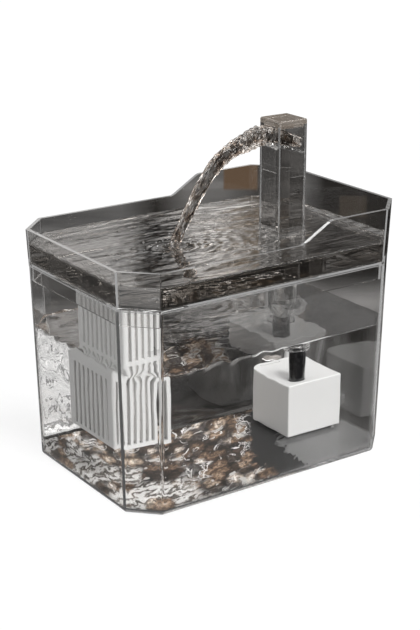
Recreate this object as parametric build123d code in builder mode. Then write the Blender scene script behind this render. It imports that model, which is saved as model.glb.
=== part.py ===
"""Pet water fountain: clear tank, lift-out drinking tray, pumped spout tower and filter cage.

Frame: the origin is the centre of the tank's underside, +X runs along the long front wall
towards the spout tower, +Y points to the back and +Z up. Millimetres.
"""

import math
import os

from build123d import *

os.makedirs("parts", exist_ok=True)

# Tank: its length and width are taken over the side walls at the joint with the tray
tank_length = 212.8
tank_width = 149.2
tank_height = 135.0
corner_cut = 19.3
tank_draft = 1.38
tank_wall = 2.5
tank_floor = 3.0
tank_edge_radius = 3.5

# Tray: the high rim runs round the tower end, the low rim round the drinking end
tray_height = 38.0
tray_low_height = 25.2
tray_draft = 2.4
tray_wall = 2.5
tray_floor = 2.0
rim_slope_length = 22.2
rim_slope_gap = 6.85
rim_kink_radius = 8.0
skirt_depth = 9.9
skirt_wall = 2.0
skirt_clearance = 0.5

# Filter cage: hangs in a well in the tray floor
cage_setback = 35.1
cage_length = 28.0
cage_width = 56.0
cage_depth = 100.0
cage_wall = 1.8
cage_edge_radius = 2.0
cage_flange = 3.8
cage_flange_thickness = 1.6
cage_clearance = 0.5
long_slot_pitch = 5.6
short_slot_pitch = 4.7
slot_width = 2.6
slot_margin = 6.0
slot_foot = 2.5
slot_top_gap = 5.0
slot_rail_drop = 48.0
slot_rail_height = 6.0
well_ledge = 2.0
well_wall = 2.0
well_clearance = 0.4

# Filter cartridge and its lid
frame_flange_thickness = 1.2
frame_skirt = 8.0
frame_wall = 1.4
frame_clearance = 0.3
cartridge_clearance = 0.4
pad_wall = 3.5
soft_gap = 0.3
carbon_headroom = 6.0
carbon_edge_radius = 1.5
lid_thickness = 2.2
lid_hole_radius = 1.2
lid_hole_margin = 2.4
lid_hole_columns = 3
lid_hole_rows = 6
lid_tab_length = 12.0
lid_tab_width = 2.4
lid_tab_height = 3.0

# Spout tower
tower_setback = 47.4
tower_side = 22.9
tower_wall = 2.0
tower_rise = 88.7
tower_edge_radius = 1.2
cap_thickness = 3.4
cap_plug_depth = 2.0
gasket_overhang = 1.3
gasket_thickness = 0.6
insert_clearance = 0.1
mouth_sill_drop = 17.5
ramp_fall = 7.5
ramp_thickness = 1.5
ramp_lip = 1.35
ramp_clearance = 0.1
ramp_hole_radius = 5.5
ramp_hole_margin = 1.35

# Spigot below the tower, and the rubber riser tube on the pump
spigot_step = 1.45
spigot_wall = 1.6
spigot_hole_clearance = 0.2
spigot_flange_thickness = 3.0
taper_top_gap = 26.0
taper_bottom_gap = 6.0
bore_taper_gap = 2.0
neck_radius = 6.0
neck_blend = 2.0
neck_blend_step = 0.4
collar_radius = 9.8
collar_thickness = 3.0
collar_edge_radius = 0.8
nose_radius = 3.95
nose_bore_radius = 2.6
nose_length = 14.0
fit_clearance = 0.05
tube_wall = 2.2
tube_show = 22.5
tube_end_gap = 0.3
tube_hole_clearance = 0.4

# Pump box on the tank floor
cup_height = 2.0
cup_radius = 4.6
cup_taper = 35.0
cup_neck_radius = 1.5
cup_head_step = 0.6
cup_head_thickness = 1.2
cup_inset = 5.0
cup_seam_inset = 8.0
pump_wall = 2.0
pump_headroom = 2.5
pump_edge_radius = 1.0
nozzle_inset_x = 13.5
nozzle_inset_y = 12.0
cover_depth = 14.0
cover_straight = 2.0
finger_slot_length = 17.0
finger_slot_width = 2.4
finger_slot_inset = 8.5
finger_slot_back = 5.0
intake_slot_count = 6
intake_slot_pitch = 4.6
intake_slot_width = 2.2
intake_slot_margin = 8.25
sponge_depth = 16.5
sponge_gap = 7.2
sponge_floor_gap = 1.6

# Motor, volute and impeller inside the pump box
motor_side_gap = 6.0
motor_side_wall = 2.5
motor_front_gap = 8.0
motor_depth = 30.0
motor_base = 2.0
motor_roof = 1.3
motor_cap_thickness = 2.0
outlet_step = 0.4
nozzle_depth = 6.0
nozzle_end_gap = 2.0
volute_radius = 11.0
volute_depth = 8.0
volute_gap = 1.4
volute_cover_margin = 1.6
volute_cover_thickness = 2.4
inlet_radius = 4.2
spider_thickness = 1.4
spoke_width = 1.6
spoke_overlap = 0.2
bush_radius = 2.0
bush_holder_wall = 1.0
rear_bush_length = 3.5
impeller_disc = 1.4
hub_wall = 1.4
blade_count = 6
blade_thickness = 1.0
blade_tip_gap = 0.3
blade_front_gap = 1.1
running_gap = 0.5
shaft_radius = 1.0
shaft_end_gap = 0.1
rotor_radius = 5.6
rotor_well_wall = 1.0
rotor_well_end = 1.5
rotor_well_end_gap = 0.4
pocket_wall = 2.0
pocket_drop = 7.0
pocket_clearance = 0.3
stator_leg = 3.8
stator_end_gap = 1.5
yoke_gap = 1.0
coil_thickness = 2.6
dial_overlap = 3.4
dial_thickness = 1.3
dial_gap = 0.1
dial_lever = 5.0
dial_lever_width = 3.0
dial_opening_step = 0.6

# Power cord and its USB plug
cord_radius = 1.75
gland_length = 10.0
gland_width = 6.9
gland_height = 9.0
gland_corner_radius = 2.0
gland_wall_gap = 2.55
notch_width = 7.0
notch_depth = 9.0
grommet_flange = 1.5
grommet_flange_thickness = 1.3
grommet_clearance = 0.1
grommet_bore_clearance = 0.7
grommet_top_gap = 0.3
skirt_notch_clearance = 1.5
coil_centre = (121.0, 89.0)
coil_radius = 21.5
coil_half_width = 5.4
coil_height = 10.6
coil_corner_radius = 2.5
tie_thickness = 0.8
tie_clearance = 0.1
tie_slack = 0.4
tie_width = 5.0
tie_angle = 130.0
plug_width = 15.8
plug_height = 8.0
plug_length = 17.0
plug_corner_radius = 2.4
plug_edge_radius = 0.8
relief_length = 7.0
relief_radius = 2.9
relief_start_step = 0.5
shell_width = 12.0
shell_height = 4.5
shell_length = 18.8
shell_wall = 0.35
shell_corner_radius = 0.6
shell_window = 2.3
shell_window_spacing = 5.0
shell_window_setback = 7.5
tongue_width = 11.0
tongue_height = 1.8
tongue_gap = 0.3
tongue_setback = 1.0
contact_width = 1.0
contact_thickness = 0.2
contact_length = 7.0
contact_pitch = 2.5
contact_setback = 2.0

# The cord's route from the gland over the tank's rim to the coil, and from the coil to the plug
run_points = [
    (95.4, 24.0, 12.5),
    (95.6, 36.0, 11.5),
    (94.6, 48.0, 12.5),
    (91.4, 57.6, 20.0),
    (90.4, 58.6, 34.0),
    (89.0, 57.4, 50.0),
    (86.8, 55.2, 68.0),
    (85.8, 54.4, 87.0),
    (86.6, 55.0, 105.0),
    (87.6, 55.9, 122.3),
    (92.6, 60.9, 129.3),
    (99.6, 67.9, 129.3),
    (104.6, 72.9, 122.3),
    (105.0, 74.3, 104.0),
    (103.6, 76.4, 85.0),
    (102.4, 78.8, 66.0),
    (100.0, 80.4, 47.0),
    (97.2, 82.8, 30.0),
    (97.3, 82.3, 16.7),
    (102.3, 77.3, 9.65),
    (109.3, 70.3, 9.65),
]
tail_points = [
    (143.7, 78.4, 2.65),
    (149.0, 88.5, 3.2),
    (150.6, 98.5, 4.0),
    (147.0, 108.0, 4.0),
]


def shrink_at(z):
    """How far the tank's walls have moved in by height z because of their draft."""
    return (tank_height - z) * math.tan(math.radians(tank_draft))


def cut_corner_outline(z, inset):
    """The eight-sided outline at height z, moved inward by inset from its size at the joint."""
    with BuildSketch(Plane.XY.offset(z)) as outline:
        Rectangle(tank_length - 2 * inset, tank_width - 2 * inset)
        chamfer(outline.vertices(), length=corner_cut - (2 - math.sqrt(2)) * inset)
    return outline.sketch


def upright_edges(part):
    """The edges that stand within about 25 degrees of vertical."""
    return part.edges().filter_by(lambda edge: abs(edge.tangent_at(0.5).Z) > 0.9)


def finish(piece, name):
    """Label a finished piece and write it under its node name."""
    piece.part.label = name
    export_step(piece.part, f"parts/{name}.step")


# Places worked out from the sizes above
tray_floor_top = tank_height + tray_floor
cage_x = -tank_length / 2 + cage_setback
tower_x = tank_length / 2 - tower_setback
flange_length = cage_length + 2 * cage_flange
flange_width = cage_width + 2 * cage_flange
ledge_top = tray_floor_top - lid_thickness - frame_flange_thickness - cage_flange_thickness
cage_bottom = ledge_top - cage_depth
frame_seat = ledge_top + cage_flange_thickness
lid_seat = frame_seat + frame_flange_thickness
cartridge_length = cage_length - 2 * (cage_wall + cartridge_clearance)
cartridge_width = cage_width - 2 * (cage_wall + cartridge_clearance)
tower_top = tank_height + tower_rise
column_base = tray_floor_top + gasket_thickness
column_top = tower_top - cap_thickness
tower_bore = tower_side - 2 * tower_wall
mouth_sill = tower_top - mouth_sill_drop
spigot_radius = tower_side / 2 - spigot_step
tube_radius = nose_radius + fit_clearance + tube_wall

# Motor, from the volute's radius outward
pump_bottom = tank_floor + cup_height
pump_inside = pump_bottom + pump_wall
pump_left = tower_x - nozzle_inset_x
pump_front = -nozzle_inset_y
motor_left = pump_left + motor_side_gap
motor_front = pump_front + motor_front_gap
motor_back = motor_front + motor_depth
impeller_x = tower_x + volute_radius - nose_bore_radius - outlet_step
impeller_z = pump_inside + volute_radius + motor_base
impeller_radius = volute_radius - volute_gap
motor_right = impeller_x + volute_radius + motor_side_wall
volute_back = motor_front + volute_depth
rotor_well_radius = rotor_radius + running_gap
well_outer_radius = rotor_well_radius + rotor_well_wall
well_end = motor_back - motor_cap_thickness - rotor_well_end_gap - rotor_well_end
pocket_front = volute_back + pocket_wall
pocket_left = impeller_x - well_outer_radius - stator_leg - 2 * pocket_clearance
pocket_right = impeller_x + well_outer_radius + stator_leg + 2 * pocket_clearance
pocket_bottom = impeller_z - pocket_drop
yoke_bottom = impeller_z + well_outer_radius + coil_thickness + yoke_gap
yoke_top = yoke_bottom + stator_leg
pocket_top = yoke_top + coil_thickness + 2 * pocket_clearance
motor_top = pocket_top + motor_roof
stator_front = pocket_front + coil_thickness + pocket_clearance
stator_length = motor_back - motor_cap_thickness - stator_end_gap - coil_thickness - stator_front

# Pump box, round the motor and as near the tank's wall as the gland allows
lead_y = run_points[0][1] - gland_length / 2
lead_z = run_points[0][2]
tank_inside_x = tank_length / 2 - shrink_at(lead_z) - tank_wall
pump_right = tank_inside_x - gland_wall_gap - gland_width
pump_length = pump_right - pump_left
pump_centre_x = (pump_left + pump_right) / 2
pump_top = motor_top + pump_headroom + pump_wall
pump_height = pump_top - pump_bottom
sponge_front = motor_back + sponge_gap
pump_back = sponge_front + sponge_depth + soft_gap + pump_wall
pump_seam = pump_back - cover_depth
pump_back_radius = cover_depth - cover_straight
collar_bottom = pump_top + tube_show
collar_top = collar_bottom + collar_thickness
nose_bottom = collar_bottom - nose_length
coil_base = tie_thickness + tie_clearance

# The back right cut corner, where the cord leaves: local X along the wall, local Z outward
exit_inset = shrink_at(tank_height) + tank_wall / 2
exit_cut = corner_cut - (2 - math.sqrt(2)) * exit_inset
exit_point = (
    tank_length / 2 - exit_inset - exit_cut / 2,
    tank_width / 2 - exit_inset - exit_cut / 2,
    tank_height,
)
exit_lean = -math.sqrt(2) * math.tan(math.radians(tank_draft))
exit_plane = Plane(origin=exit_point, x_dir=(-1, 1, 0), z_dir=(1, 1, exit_lean))

# ---------------------------------------------------------------- tank
with BuildPart() as tank:
    extrude(cut_corner_outline(0, shrink_at(0)), amount=tank_height, taper=-tank_draft)
    fillet(upright_edges(tank) + tank.faces().sort_by(Axis.Z)[0].edges(), radius=tank_edge_radius)
    extrude(
        cut_corner_outline(tank_floor, shrink_at(tank_floor) + tank_wall),
        amount=tank_height - tank_floor,
        taper=-tank_draft,
        mode=Mode.SUBTRACT,
    )
    with BuildSketch(exit_plane):
        with Locations((0, -notch_depth / 2)):
            Rectangle(notch_width, notch_depth)
    extrude(amount=2 * tank_wall, both=True, mode=Mode.SUBTRACT)
finish(tank, "tank")

# ---------------------------------------------------------------- tray
slope_end_x = tower_x - tower_side / 2 - rim_slope_gap
slope_start_x = slope_end_x - rim_slope_length
low_rim = tank_height + tray_low_height
high_rim = tank_height + tray_height
reach = tank_length
skirt_bottom = tank_height - skirt_depth
skirt_outer = tank_wall + skirt_clearance
skirt_notch_width = notch_width + 2 * (grommet_flange + skirt_notch_clearance)

with BuildPart() as tray:
    extrude(cut_corner_outline(tank_height, 0), amount=tray_height, taper=-tray_draft)
    extrude(
        cut_corner_outline(tray_floor_top, tray_wall - tray_floor * math.tan(math.radians(tray_draft))),
        amount=tray_height,
        taper=-tray_draft,
        mode=Mode.SUBTRACT,
    )
    with BuildSketch(Plane.XZ) as above_rim:
        with BuildLine():
            Polyline(
                (-reach, low_rim),
                (slope_start_x, low_rim),
                (slope_end_x, high_rim),
                (reach, high_rim),
                (reach, high_rim + tray_height),
                (-reach, high_rim + tray_height),
                close=True,
            )
        make_face()
        kinks = above_rim.vertices().filter_by(lambda corner: abs(corner.X) < tank_length / 2)
        fillet(kinks, radius=rim_kink_radius)
    extrude(amount=tank_width, both=True, mode=Mode.SUBTRACT)
    extrude(
        cut_corner_outline(skirt_bottom, shrink_at(skirt_bottom) + skirt_outer),
        amount=skirt_depth,
        taper=-tank_draft,
    )
    extrude(
        cut_corner_outline(skirt_bottom, shrink_at(skirt_bottom) + skirt_outer + skirt_wall),
        amount=skirt_depth,
        taper=-tank_draft,
        mode=Mode.SUBTRACT,
    )
    with BuildSketch(Plane.XY.offset(ledge_top - well_ledge)):
        with Locations((cage_x, 0)):
            Rectangle(
                flange_length + 2 * (well_clearance + well_wall),
                flange_width + 2 * (well_clearance + well_wall),
            )
    extrude(amount=tank_height - ledge_top + well_ledge)
    with BuildSketch(Plane.XY.offset(ledge_top)):
        with Locations((cage_x, 0)):
            Rectangle(flange_length + 2 * well_clearance, flange_width + 2 * well_clearance)
    extrude(amount=tray_floor_top - ledge_top, mode=Mode.SUBTRACT)
    with BuildSketch(Plane.XY.offset(ledge_top - well_ledge)):
        with Locations((cage_x, 0)):
            Rectangle(cage_length + 2 * cage_clearance, cage_width + 2 * cage_clearance)
    extrude(amount=well_ledge, mode=Mode.SUBTRACT)
    with Locations((tower_x, 0, tray_floor_top)):
        Hole(radius=spigot_radius + spigot_hole_clearance, depth=tray_floor)
    with BuildSketch(Plane(origin=exit_point, x_dir=(-1, 1, 0), z_dir=(1, 1, 0))):
        with Locations((0, -skirt_depth / 2)):
            Rectangle(skirt_notch_width, skirt_depth)
    extrude(amount=3 * skirt_outer, both=True, mode=Mode.SUBTRACT)
finish(tray, "tray")

# ---------------------------------------------------------------- filter cage
rail_top = ledge_top - slot_rail_drop
slot_rows = [
    (cage_bottom + slot_foot, rail_top - slot_rail_height),
    (rail_top, ledge_top - slot_top_gap),
]
long_slots = int((cage_width - 2 * slot_margin + slot_width) // long_slot_pitch)
short_slots = int((cage_length - slot_margin + slot_width) // short_slot_pitch)

with BuildPart() as filter_cage:
    with BuildSketch(Plane.XY.offset(cage_bottom)):
        with Locations((cage_x, 0)):
            RectangleRounded(cage_length, cage_width, cage_edge_radius)
    extrude(amount=cage_depth)
    with BuildSketch(Plane.XY.offset(ledge_top)):
        with Locations((cage_x, 0)):
            Rectangle(flange_length, flange_width)
    extrude(amount=cage_flange_thickness)
    with BuildSketch(Plane.XY.offset(cage_bottom + cage_wall)):
        with Locations((cage_x, 0)):
            Rectangle(cage_length - 2 * cage_wall, cage_width - 2 * cage_wall)
    extrude(amount=cage_depth + cage_flange_thickness, mode=Mode.SUBTRACT)
    with BuildSketch(Plane.YZ.offset(cage_x)):
        for low, high in slot_rows:
            with Locations((0, (low + high) / 2)):
                with GridLocations(long_slot_pitch, 1, long_slots, 1):
                    Rectangle(slot_width, high - low)
    extrude(amount=cage_length, both=True, mode=Mode.SUBTRACT)
    with BuildSketch(Plane.XZ):
        for low, high in slot_rows:
            with Locations((cage_x, (low + high) / 2)):
                with GridLocations(short_slot_pitch, 1, short_slots, 1):
                    Rectangle(slot_width, high - low)
    extrude(amount=cage_width, both=True, mode=Mode.SUBTRACT)
finish(filter_cage, "filter_cage")

# ---------------------------------------------------------------- filter cartridge
with BuildPart() as filter_frame:
    with BuildSketch(Plane.XY.offset(frame_seat)):
        with Locations((cage_x, 0)):
            Rectangle(flange_length - 2 * frame_clearance, flange_width - 2 * frame_clearance)
    extrude(amount=frame_flange_thickness)
    with BuildSketch(Plane.XY.offset(frame_seat - frame_skirt)):
        with Locations((cage_x, 0)):
            Rectangle(cartridge_length, cartridge_width)
    extrude(amount=frame_skirt)
    with BuildSketch(Plane.XY.offset(frame_seat - frame_skirt)):
        with Locations((cage_x, 0)):
            Rectangle(cartridge_length - 2 * frame_wall, cartridge_width - 2 * frame_wall)
    extrude(amount=frame_skirt + frame_flange_thickness, mode=Mode.SUBTRACT)
finish(filter_frame, "filter_frame")

pad_top = frame_seat - frame_skirt
pad_bottom = cage_bottom + cage_wall + soft_gap
with BuildPart() as filter_pad:
    with BuildSketch(Plane.XY.offset(pad_bottom)):
        with Locations((cage_x, 0)):
            Rectangle(cartridge_length, cartridge_width)
    extrude(amount=pad_top - pad_bottom)
    with BuildSketch(Plane.XY.offset(pad_bottom + pad_wall)):
        with Locations((cage_x, 0)):
            Rectangle(cartridge_length - 2 * pad_wall, cartridge_width - 2 * pad_wall)
    extrude(amount=pad_top - pad_bottom, mode=Mode.SUBTRACT)
finish(filter_pad, "filter_pad")

with BuildPart() as carbon_pack:
    with BuildSketch(Plane.XY.offset(pad_bottom + pad_wall + soft_gap)):
        with Locations((cage_x, 0)):
            Rectangle(
                cartridge_length - 2 * (pad_wall + soft_gap),
                cartridge_width - 2 * (pad_wall + soft_gap),
            )
    extrude(amount=pad_top - pad_bottom - pad_wall - carbon_headroom)
    fillet(carbon_pack.edges(), radius=carbon_edge_radius)
finish(carbon_pack, "carbon_pack")

lid_hole_inset = frame_wall + lid_hole_margin
lid_hole_pitch_x = (cartridge_length - 2 * lid_hole_inset) / (lid_hole_columns - 1)
lid_hole_pitch_y = (cartridge_width - 2 * lid_hole_inset) / (lid_hole_rows - 1)
with BuildPart() as drain_lid:
    with BuildSketch(Plane.XY.offset(lid_seat)):
        with Locations((cage_x, 0)):
            Rectangle(flange_length, flange_width)
    extrude(amount=lid_thickness)
    with Locations((cage_x, 0, tray_floor_top)):
        with GridLocations(lid_hole_pitch_x, lid_hole_pitch_y, lid_hole_columns, lid_hole_rows):
            Hole(radius=lid_hole_radius, depth=lid_thickness)
    with BuildSketch(Plane.XY.offset(tray_floor_top)):
        with Locations((cage_x, 0)):
            Rectangle(lid_tab_length, lid_tab_width)
    extrude(amount=lid_tab_height)
finish(drain_lid, "drain_lid")

# ---------------------------------------------------------------- spout tower
with BuildPart() as tower_column:
    with BuildSketch(Plane.XY.offset(column_base)):
        with Locations((tower_x, 0)):
            RectangleRounded(tower_side, tower_side, tower_edge_radius)
            Rectangle(tower_bore, tower_bore, mode=Mode.SUBTRACT)
    extrude(amount=column_top - column_base)
    mouth_height = column_top - mouth_sill
    with BuildSketch(Plane.YZ.offset(tower_x - tower_side / 2)):
        with Locations((0, mouth_sill + mouth_height / 2)):
            Rectangle(tower_bore, mouth_height)
    extrude(amount=tower_wall, both=True, mode=Mode.SUBTRACT)
finish(tower_column, "tower_column")

with BuildPart() as tower_cap:
    with BuildSketch(Plane.XY.offset(column_top)):
        with Locations((tower_x, 0)):
            Rectangle(tower_side, tower_side)
    extrude(amount=cap_thickness)
    fillet(upright_edges(tower_cap) + tower_cap.faces().sort_by(Axis.Z)[-1].edges(), tower_edge_radius)
    cap_plug = tower_bore - 2 * insert_clearance
    with BuildSketch(Plane.XY.offset(column_top - cap_plug_depth)):
        with Locations((tower_x, 0)):
            Rectangle(cap_plug, cap_plug)
    extrude(amount=cap_plug_depth)
finish(tower_cap, "tower_cap")

ramp_tip_x = tower_x - tower_side / 2 - ramp_lip
ramp_end_x = tower_x + tower_bore / 2 - insert_clearance
ramp_slope = ramp_fall / (ramp_end_x - ramp_tip_x)
ramp_top = mouth_sill + ramp_clearance + ramp_thickness + ramp_slope * (ramp_lip + tower_wall)
with BuildPart() as spout_ramp:
    with BuildSketch(Plane.XZ):
        with BuildLine():
            Polyline(
                (ramp_tip_x, ramp_top),
                (ramp_end_x, ramp_top - ramp_fall),
                (ramp_end_x, ramp_top - ramp_fall - ramp_thickness),
                (ramp_tip_x, ramp_top - ramp_thickness),
                close=True,
            )
        make_face()
    extrude(amount=tower_bore / 2 - insert_clearance, both=True)
    with Locations((ramp_end_x - ramp_hole_margin - ramp_hole_radius, 0, ramp_top)):
        Hole(radius=ramp_hole_radius, depth=ramp_fall + 2 * ramp_thickness)
finish(spout_ramp, "spout_ramp")

with BuildPart() as tower_gasket:
    with BuildSketch(Plane.XY.offset(tray_floor_top)):
        with Locations((tower_x, 0)):
            RectangleRounded(
                tower_side + 2 * gasket_overhang, tower_side + 2 * gasket_overhang, 2 * tower_edge_radius
            )
            Circle(spigot_radius + spigot_hole_clearance, mode=Mode.SUBTRACT)
    extrude(amount=gasket_thickness)
finish(tower_gasket, "tower_gasket")

# The spigot's profile is drawn from its axis outward and turned about the tower's axis
spigot_plane = Plane(origin=(tower_x, 0, 0), x_dir=(1, 0, 0), z_dir=(0, -1, 0))
spigot_axis = Axis((tower_x, 0, 0), (0, 0, 1))
with BuildPart() as tower_spigot:
    with BuildSketch(spigot_plane):
        with BuildLine():
            Polyline(
                (spigot_radius, column_base),
                (spigot_radius, collar_top + taper_top_gap),
                (neck_radius + neck_blend_step, collar_top + taper_bottom_gap),
                (neck_radius, collar_top + taper_bottom_gap - neck_blend),
                (neck_radius, collar_bottom),
                (nose_radius, collar_bottom),
                (nose_radius, nose_bottom),
                (nose_bore_radius, nose_bottom),
                (nose_bore_radius, collar_top + bore_taper_gap),
                (spigot_radius - spigot_wall, collar_top + taper_top_gap),
                (spigot_radius - spigot_wall, column_base),
                close=True,
            )
        make_face()
    revolve(axis=spigot_axis)
    with BuildSketch(Plane.XY.offset(column_base)):
        with Locations((tower_x, 0)):
            Rectangle(tower_bore - 2 * insert_clearance, tower_bore - 2 * insert_clearance)
            Circle(spigot_radius - spigot_wall, mode=Mode.SUBTRACT)
    extrude(amount=spigot_flange_thickness)
finish(tower_spigot, "tower_spigot")

with BuildPart() as spigot_collar:
    with BuildSketch(Plane.XY.offset(collar_bottom)):
        with Locations((tower_x, 0)):
            Circle(collar_radius)
            Circle(neck_radius + fit_clearance, mode=Mode.SUBTRACT)
    extrude(amount=collar_thickness)
    collar_rims = spigot_collar.edges().filter_by(GeomType.CIRCLE).sort_by(SortBy.RADIUS)[-2:]
    fillet(collar_rims, radius=collar_edge_radius)
finish(spigot_collar, "spigot_collar")

with BuildPart() as riser_tube:
    with BuildSketch(Plane.XY.offset(motor_top)):
        with Locations((tower_x, 0)):
            Circle(tube_radius)
            Circle(nose_radius + fit_clearance, mode=Mode.SUBTRACT)
    extrude(amount=collar_bottom - tube_end_gap - motor_top)
    fillet(riser_tube.edges().group_by(Axis.Z)[-1].sort_by(SortBy.RADIUS)[-1], radius=tube_wall / 2)
finish(riser_tube, "riser_tube")

# ---------------------------------------------------------------- pump box
with BuildPart() as pump_case:
    with BuildSketch(Plane.XY.offset(pump_bottom)):
        with Locations((pump_centre_x, (pump_front + pump_seam) / 2)):
            Rectangle(pump_length, pump_seam - pump_front)
    extrude(amount=pump_height)
    case_back = pump_case.faces().sort_by(Axis.Y)[-1].edges()
    fillet(pump_case.edges() - case_back, radius=pump_edge_radius)
    with BuildSketch(Plane.XY.offset(pump_inside)):
        with Locations((pump_centre_x, (pump_front + pump_wall + pump_seam) / 2)):
            Rectangle(pump_length - 2 * pump_wall, pump_seam - pump_front - pump_wall)
    extrude(amount=pump_height - 2 * pump_wall, mode=Mode.SUBTRACT)
    with Locations((tower_x, 0, pump_top)):
        Hole(radius=tube_radius + tube_hole_clearance, depth=2 * pump_wall)
    cup_places = [
        (pump_left + cup_inset, pump_front + cup_inset),
        (pump_right - cup_inset, pump_front + cup_inset),
        (pump_left + cup_inset, pump_seam - cup_seam_inset),
        (pump_right - cup_inset, pump_seam - cup_seam_inset),
    ]
    with Locations(*[(x, y, pump_inside) for x, y in cup_places]):
        Hole(radius=cup_neck_radius + fit_clearance, depth=pump_wall)
    with BuildSketch(Plane.YZ.offset(pump_right)):
        with Locations((lead_y, lead_z)):
            Circle(cord_radius + pocket_clearance)
    extrude(amount=-2 * pump_wall, mode=Mode.SUBTRACT)
finish(pump_case, "pump_case")

finger_slot_x = pump_left + finger_slot_inset + finger_slot_length / 2
with BuildPart() as intake_cover:
    with BuildSketch(Plane.XY.offset(pump_bottom)):
        with Locations((pump_centre_x, (pump_seam + pump_back) / 2)):
            Rectangle(pump_length, cover_depth)
    extrude(amount=pump_height)
    fillet(upright_edges(intake_cover).group_by(Axis.Y)[-1], radius=pump_back_radius)
    with BuildSketch(Plane.XY.offset(pump_inside)) as cover_hollow:
        with Locations((pump_centre_x, (pump_seam + pump_back - pump_wall) / 2)):
            Rectangle(pump_length - 2 * pump_wall, cover_depth - pump_wall)
        fillet(cover_hollow.vertices().group_by(Axis.Y)[-1], radius=pump_back_radius - pump_wall)
    extrude(amount=pump_height - 2 * pump_wall, mode=Mode.SUBTRACT)
    with BuildSketch(Plane.XY.offset(pump_top)):
        with Locations((finger_slot_x, pump_back - finger_slot_back)):
            SlotOverall(finger_slot_length, finger_slot_width)
    extrude(amount=-pump_wall, mode=Mode.SUBTRACT)
    with BuildSketch(Plane.XZ.offset(-pump_back)):
        with Locations((pump_centre_x, pump_bottom + pump_height / 2)):
            with GridLocations(intake_slot_pitch, 1, intake_slot_count, 1):
                Rectangle(intake_slot_width, pump_height - 2 * intake_slot_margin)
    extrude(amount=pump_wall, both=True, mode=Mode.SUBTRACT)
finish(intake_cover, "intake_cover")

with BuildPart() as foam_sponge:
    with BuildSketch(Plane.XY.offset(pump_inside + sponge_floor_gap)) as sponge_outline:
        with Locations((pump_centre_x, sponge_front + sponge_depth / 2)):
            Rectangle(pump_length - 2 * (pump_wall + soft_gap), sponge_depth)
        fillet(
            sponge_outline.vertices().group_by(Axis.Y)[-1],
            radius=pump_back_radius - pump_wall - soft_gap,
        )
    extrude(amount=pump_height - 2 * pump_wall - sponge_floor_gap - soft_gap)
finish(foam_sponge, "foam_sponge")

with BuildPart() as suction_cups:
    for x, y in cup_places:
        with BuildSketch(Plane.XY.offset(tank_floor)):
            with Locations((x, y)):
                Circle(cup_radius)
        extrude(amount=cup_height, taper=cup_taper)
        with BuildSketch(Plane.XY.offset(tank_floor)):
            with Locations((x, y)):
                Circle(cup_neck_radius)
        extrude(amount=cup_height + pump_wall)
        with BuildSketch(Plane.XY.offset(pump_inside)):
            with Locations((x, y)):
                Circle(cup_neck_radius + cup_head_step)
        extrude(amount=cup_head_thickness)
finish(suction_cups, "suction_cups")

# ---------------------------------------------------------------- motor
rotor_plane = Plane(origin=(impeller_x, 0, impeller_z), x_dir=(1, 0, 0), z_dir=(0, 1, 0))

with BuildPart() as motor_housing:
    with BuildSketch(Plane.XY.offset(pump_inside)):
        with Locations(((motor_left + motor_right) / 2, (motor_front + motor_back) / 2)):
            Rectangle(motor_right - motor_left, motor_depth)
    extrude(amount=motor_top - pump_inside)
    with BuildSketch(rotor_plane.offset(motor_front)):
        Circle(volute_radius)
    extrude(amount=volute_depth, mode=Mode.SUBTRACT)
    with BuildSketch(Plane.XZ.offset(-pocket_front)):
        with Locations(((pocket_left + pocket_right) / 2, (pocket_bottom + pocket_top) / 2)):
            Rectangle(pocket_right - pocket_left, pocket_top - pocket_bottom)
    extrude(amount=-motor_depth, mode=Mode.SUBTRACT)
    with BuildSketch(rotor_plane.offset(volute_back)):
        Circle(well_outer_radius)
    extrude(amount=well_end + rotor_well_end - volute_back)
    with BuildSketch(rotor_plane.offset(volute_back)):
        Circle(rotor_well_radius)
    extrude(amount=well_end - volute_back, mode=Mode.SUBTRACT)
    with Locations((tower_x, 0, motor_top)):
        Hole(radius=nose_radius + fit_clearance, depth=nozzle_depth)
        Hole(radius=nose_bore_radius, depth=motor_top - impeller_z)
finish(motor_housing, "motor_housing")

with BuildPart() as motor_end_cap:
    with BuildSketch(Plane.XZ.offset(-(motor_back - motor_cap_thickness))):
        with Locations(((pocket_left + pocket_right) / 2, (pocket_bottom + pocket_top) / 2)):
            Rectangle(
                pocket_right - pocket_left - 2 * fit_clearance,
                pocket_top - pocket_bottom - 2 * fit_clearance,
            )
    extrude(amount=-motor_cap_thickness)
finish(motor_end_cap, "motor_end_cap")

stator_left = pocket_left + pocket_clearance
stator_right = pocket_right - pocket_clearance
with BuildPart() as stator_core:
    with BuildSketch(Plane.XZ.offset(-stator_front)):
        with Locations(((stator_left + stator_right) / 2, (pocket_bottom + pocket_clearance + yoke_top) / 2)):
            Rectangle(stator_right - stator_left, yoke_top - pocket_bottom - pocket_clearance)
        with Locations((impeller_x, (pocket_bottom + yoke_bottom) / 2)):
            Rectangle(
                stator_right - stator_left - 2 * stator_leg,
                yoke_bottom - pocket_bottom,
                mode=Mode.SUBTRACT,
            )
        with Locations((impeller_x, impeller_z)):
            Circle(well_outer_radius + pocket_clearance, mode=Mode.SUBTRACT)
    extrude(amount=-stator_length)
finish(stator_core, "stator_core")

with BuildPart() as stator_coil:
    with BuildSketch(Plane.YZ.offset(impeller_x)):
        with Locations((stator_front + stator_length / 2, (yoke_bottom + yoke_top) / 2)):
            Rectangle(stator_length + 2 * coil_thickness, stator_leg + 2 * coil_thickness)
            Rectangle(
                stator_length + 2 * fit_clearance, stator_leg + 2 * fit_clearance, mode=Mode.SUBTRACT
            )
    extrude(amount=rotor_well_radius, both=True)
finish(stator_coil, "stator_coil")

with BuildPart() as motor_lead:
    with BuildSketch(Plane.YZ.offset(motor_right)):
        with Locations((lead_y, lead_z)):
            Circle(cord_radius)
    extrude(amount=pump_right - motor_right)
finish(motor_lead, "motor_lead")

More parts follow.
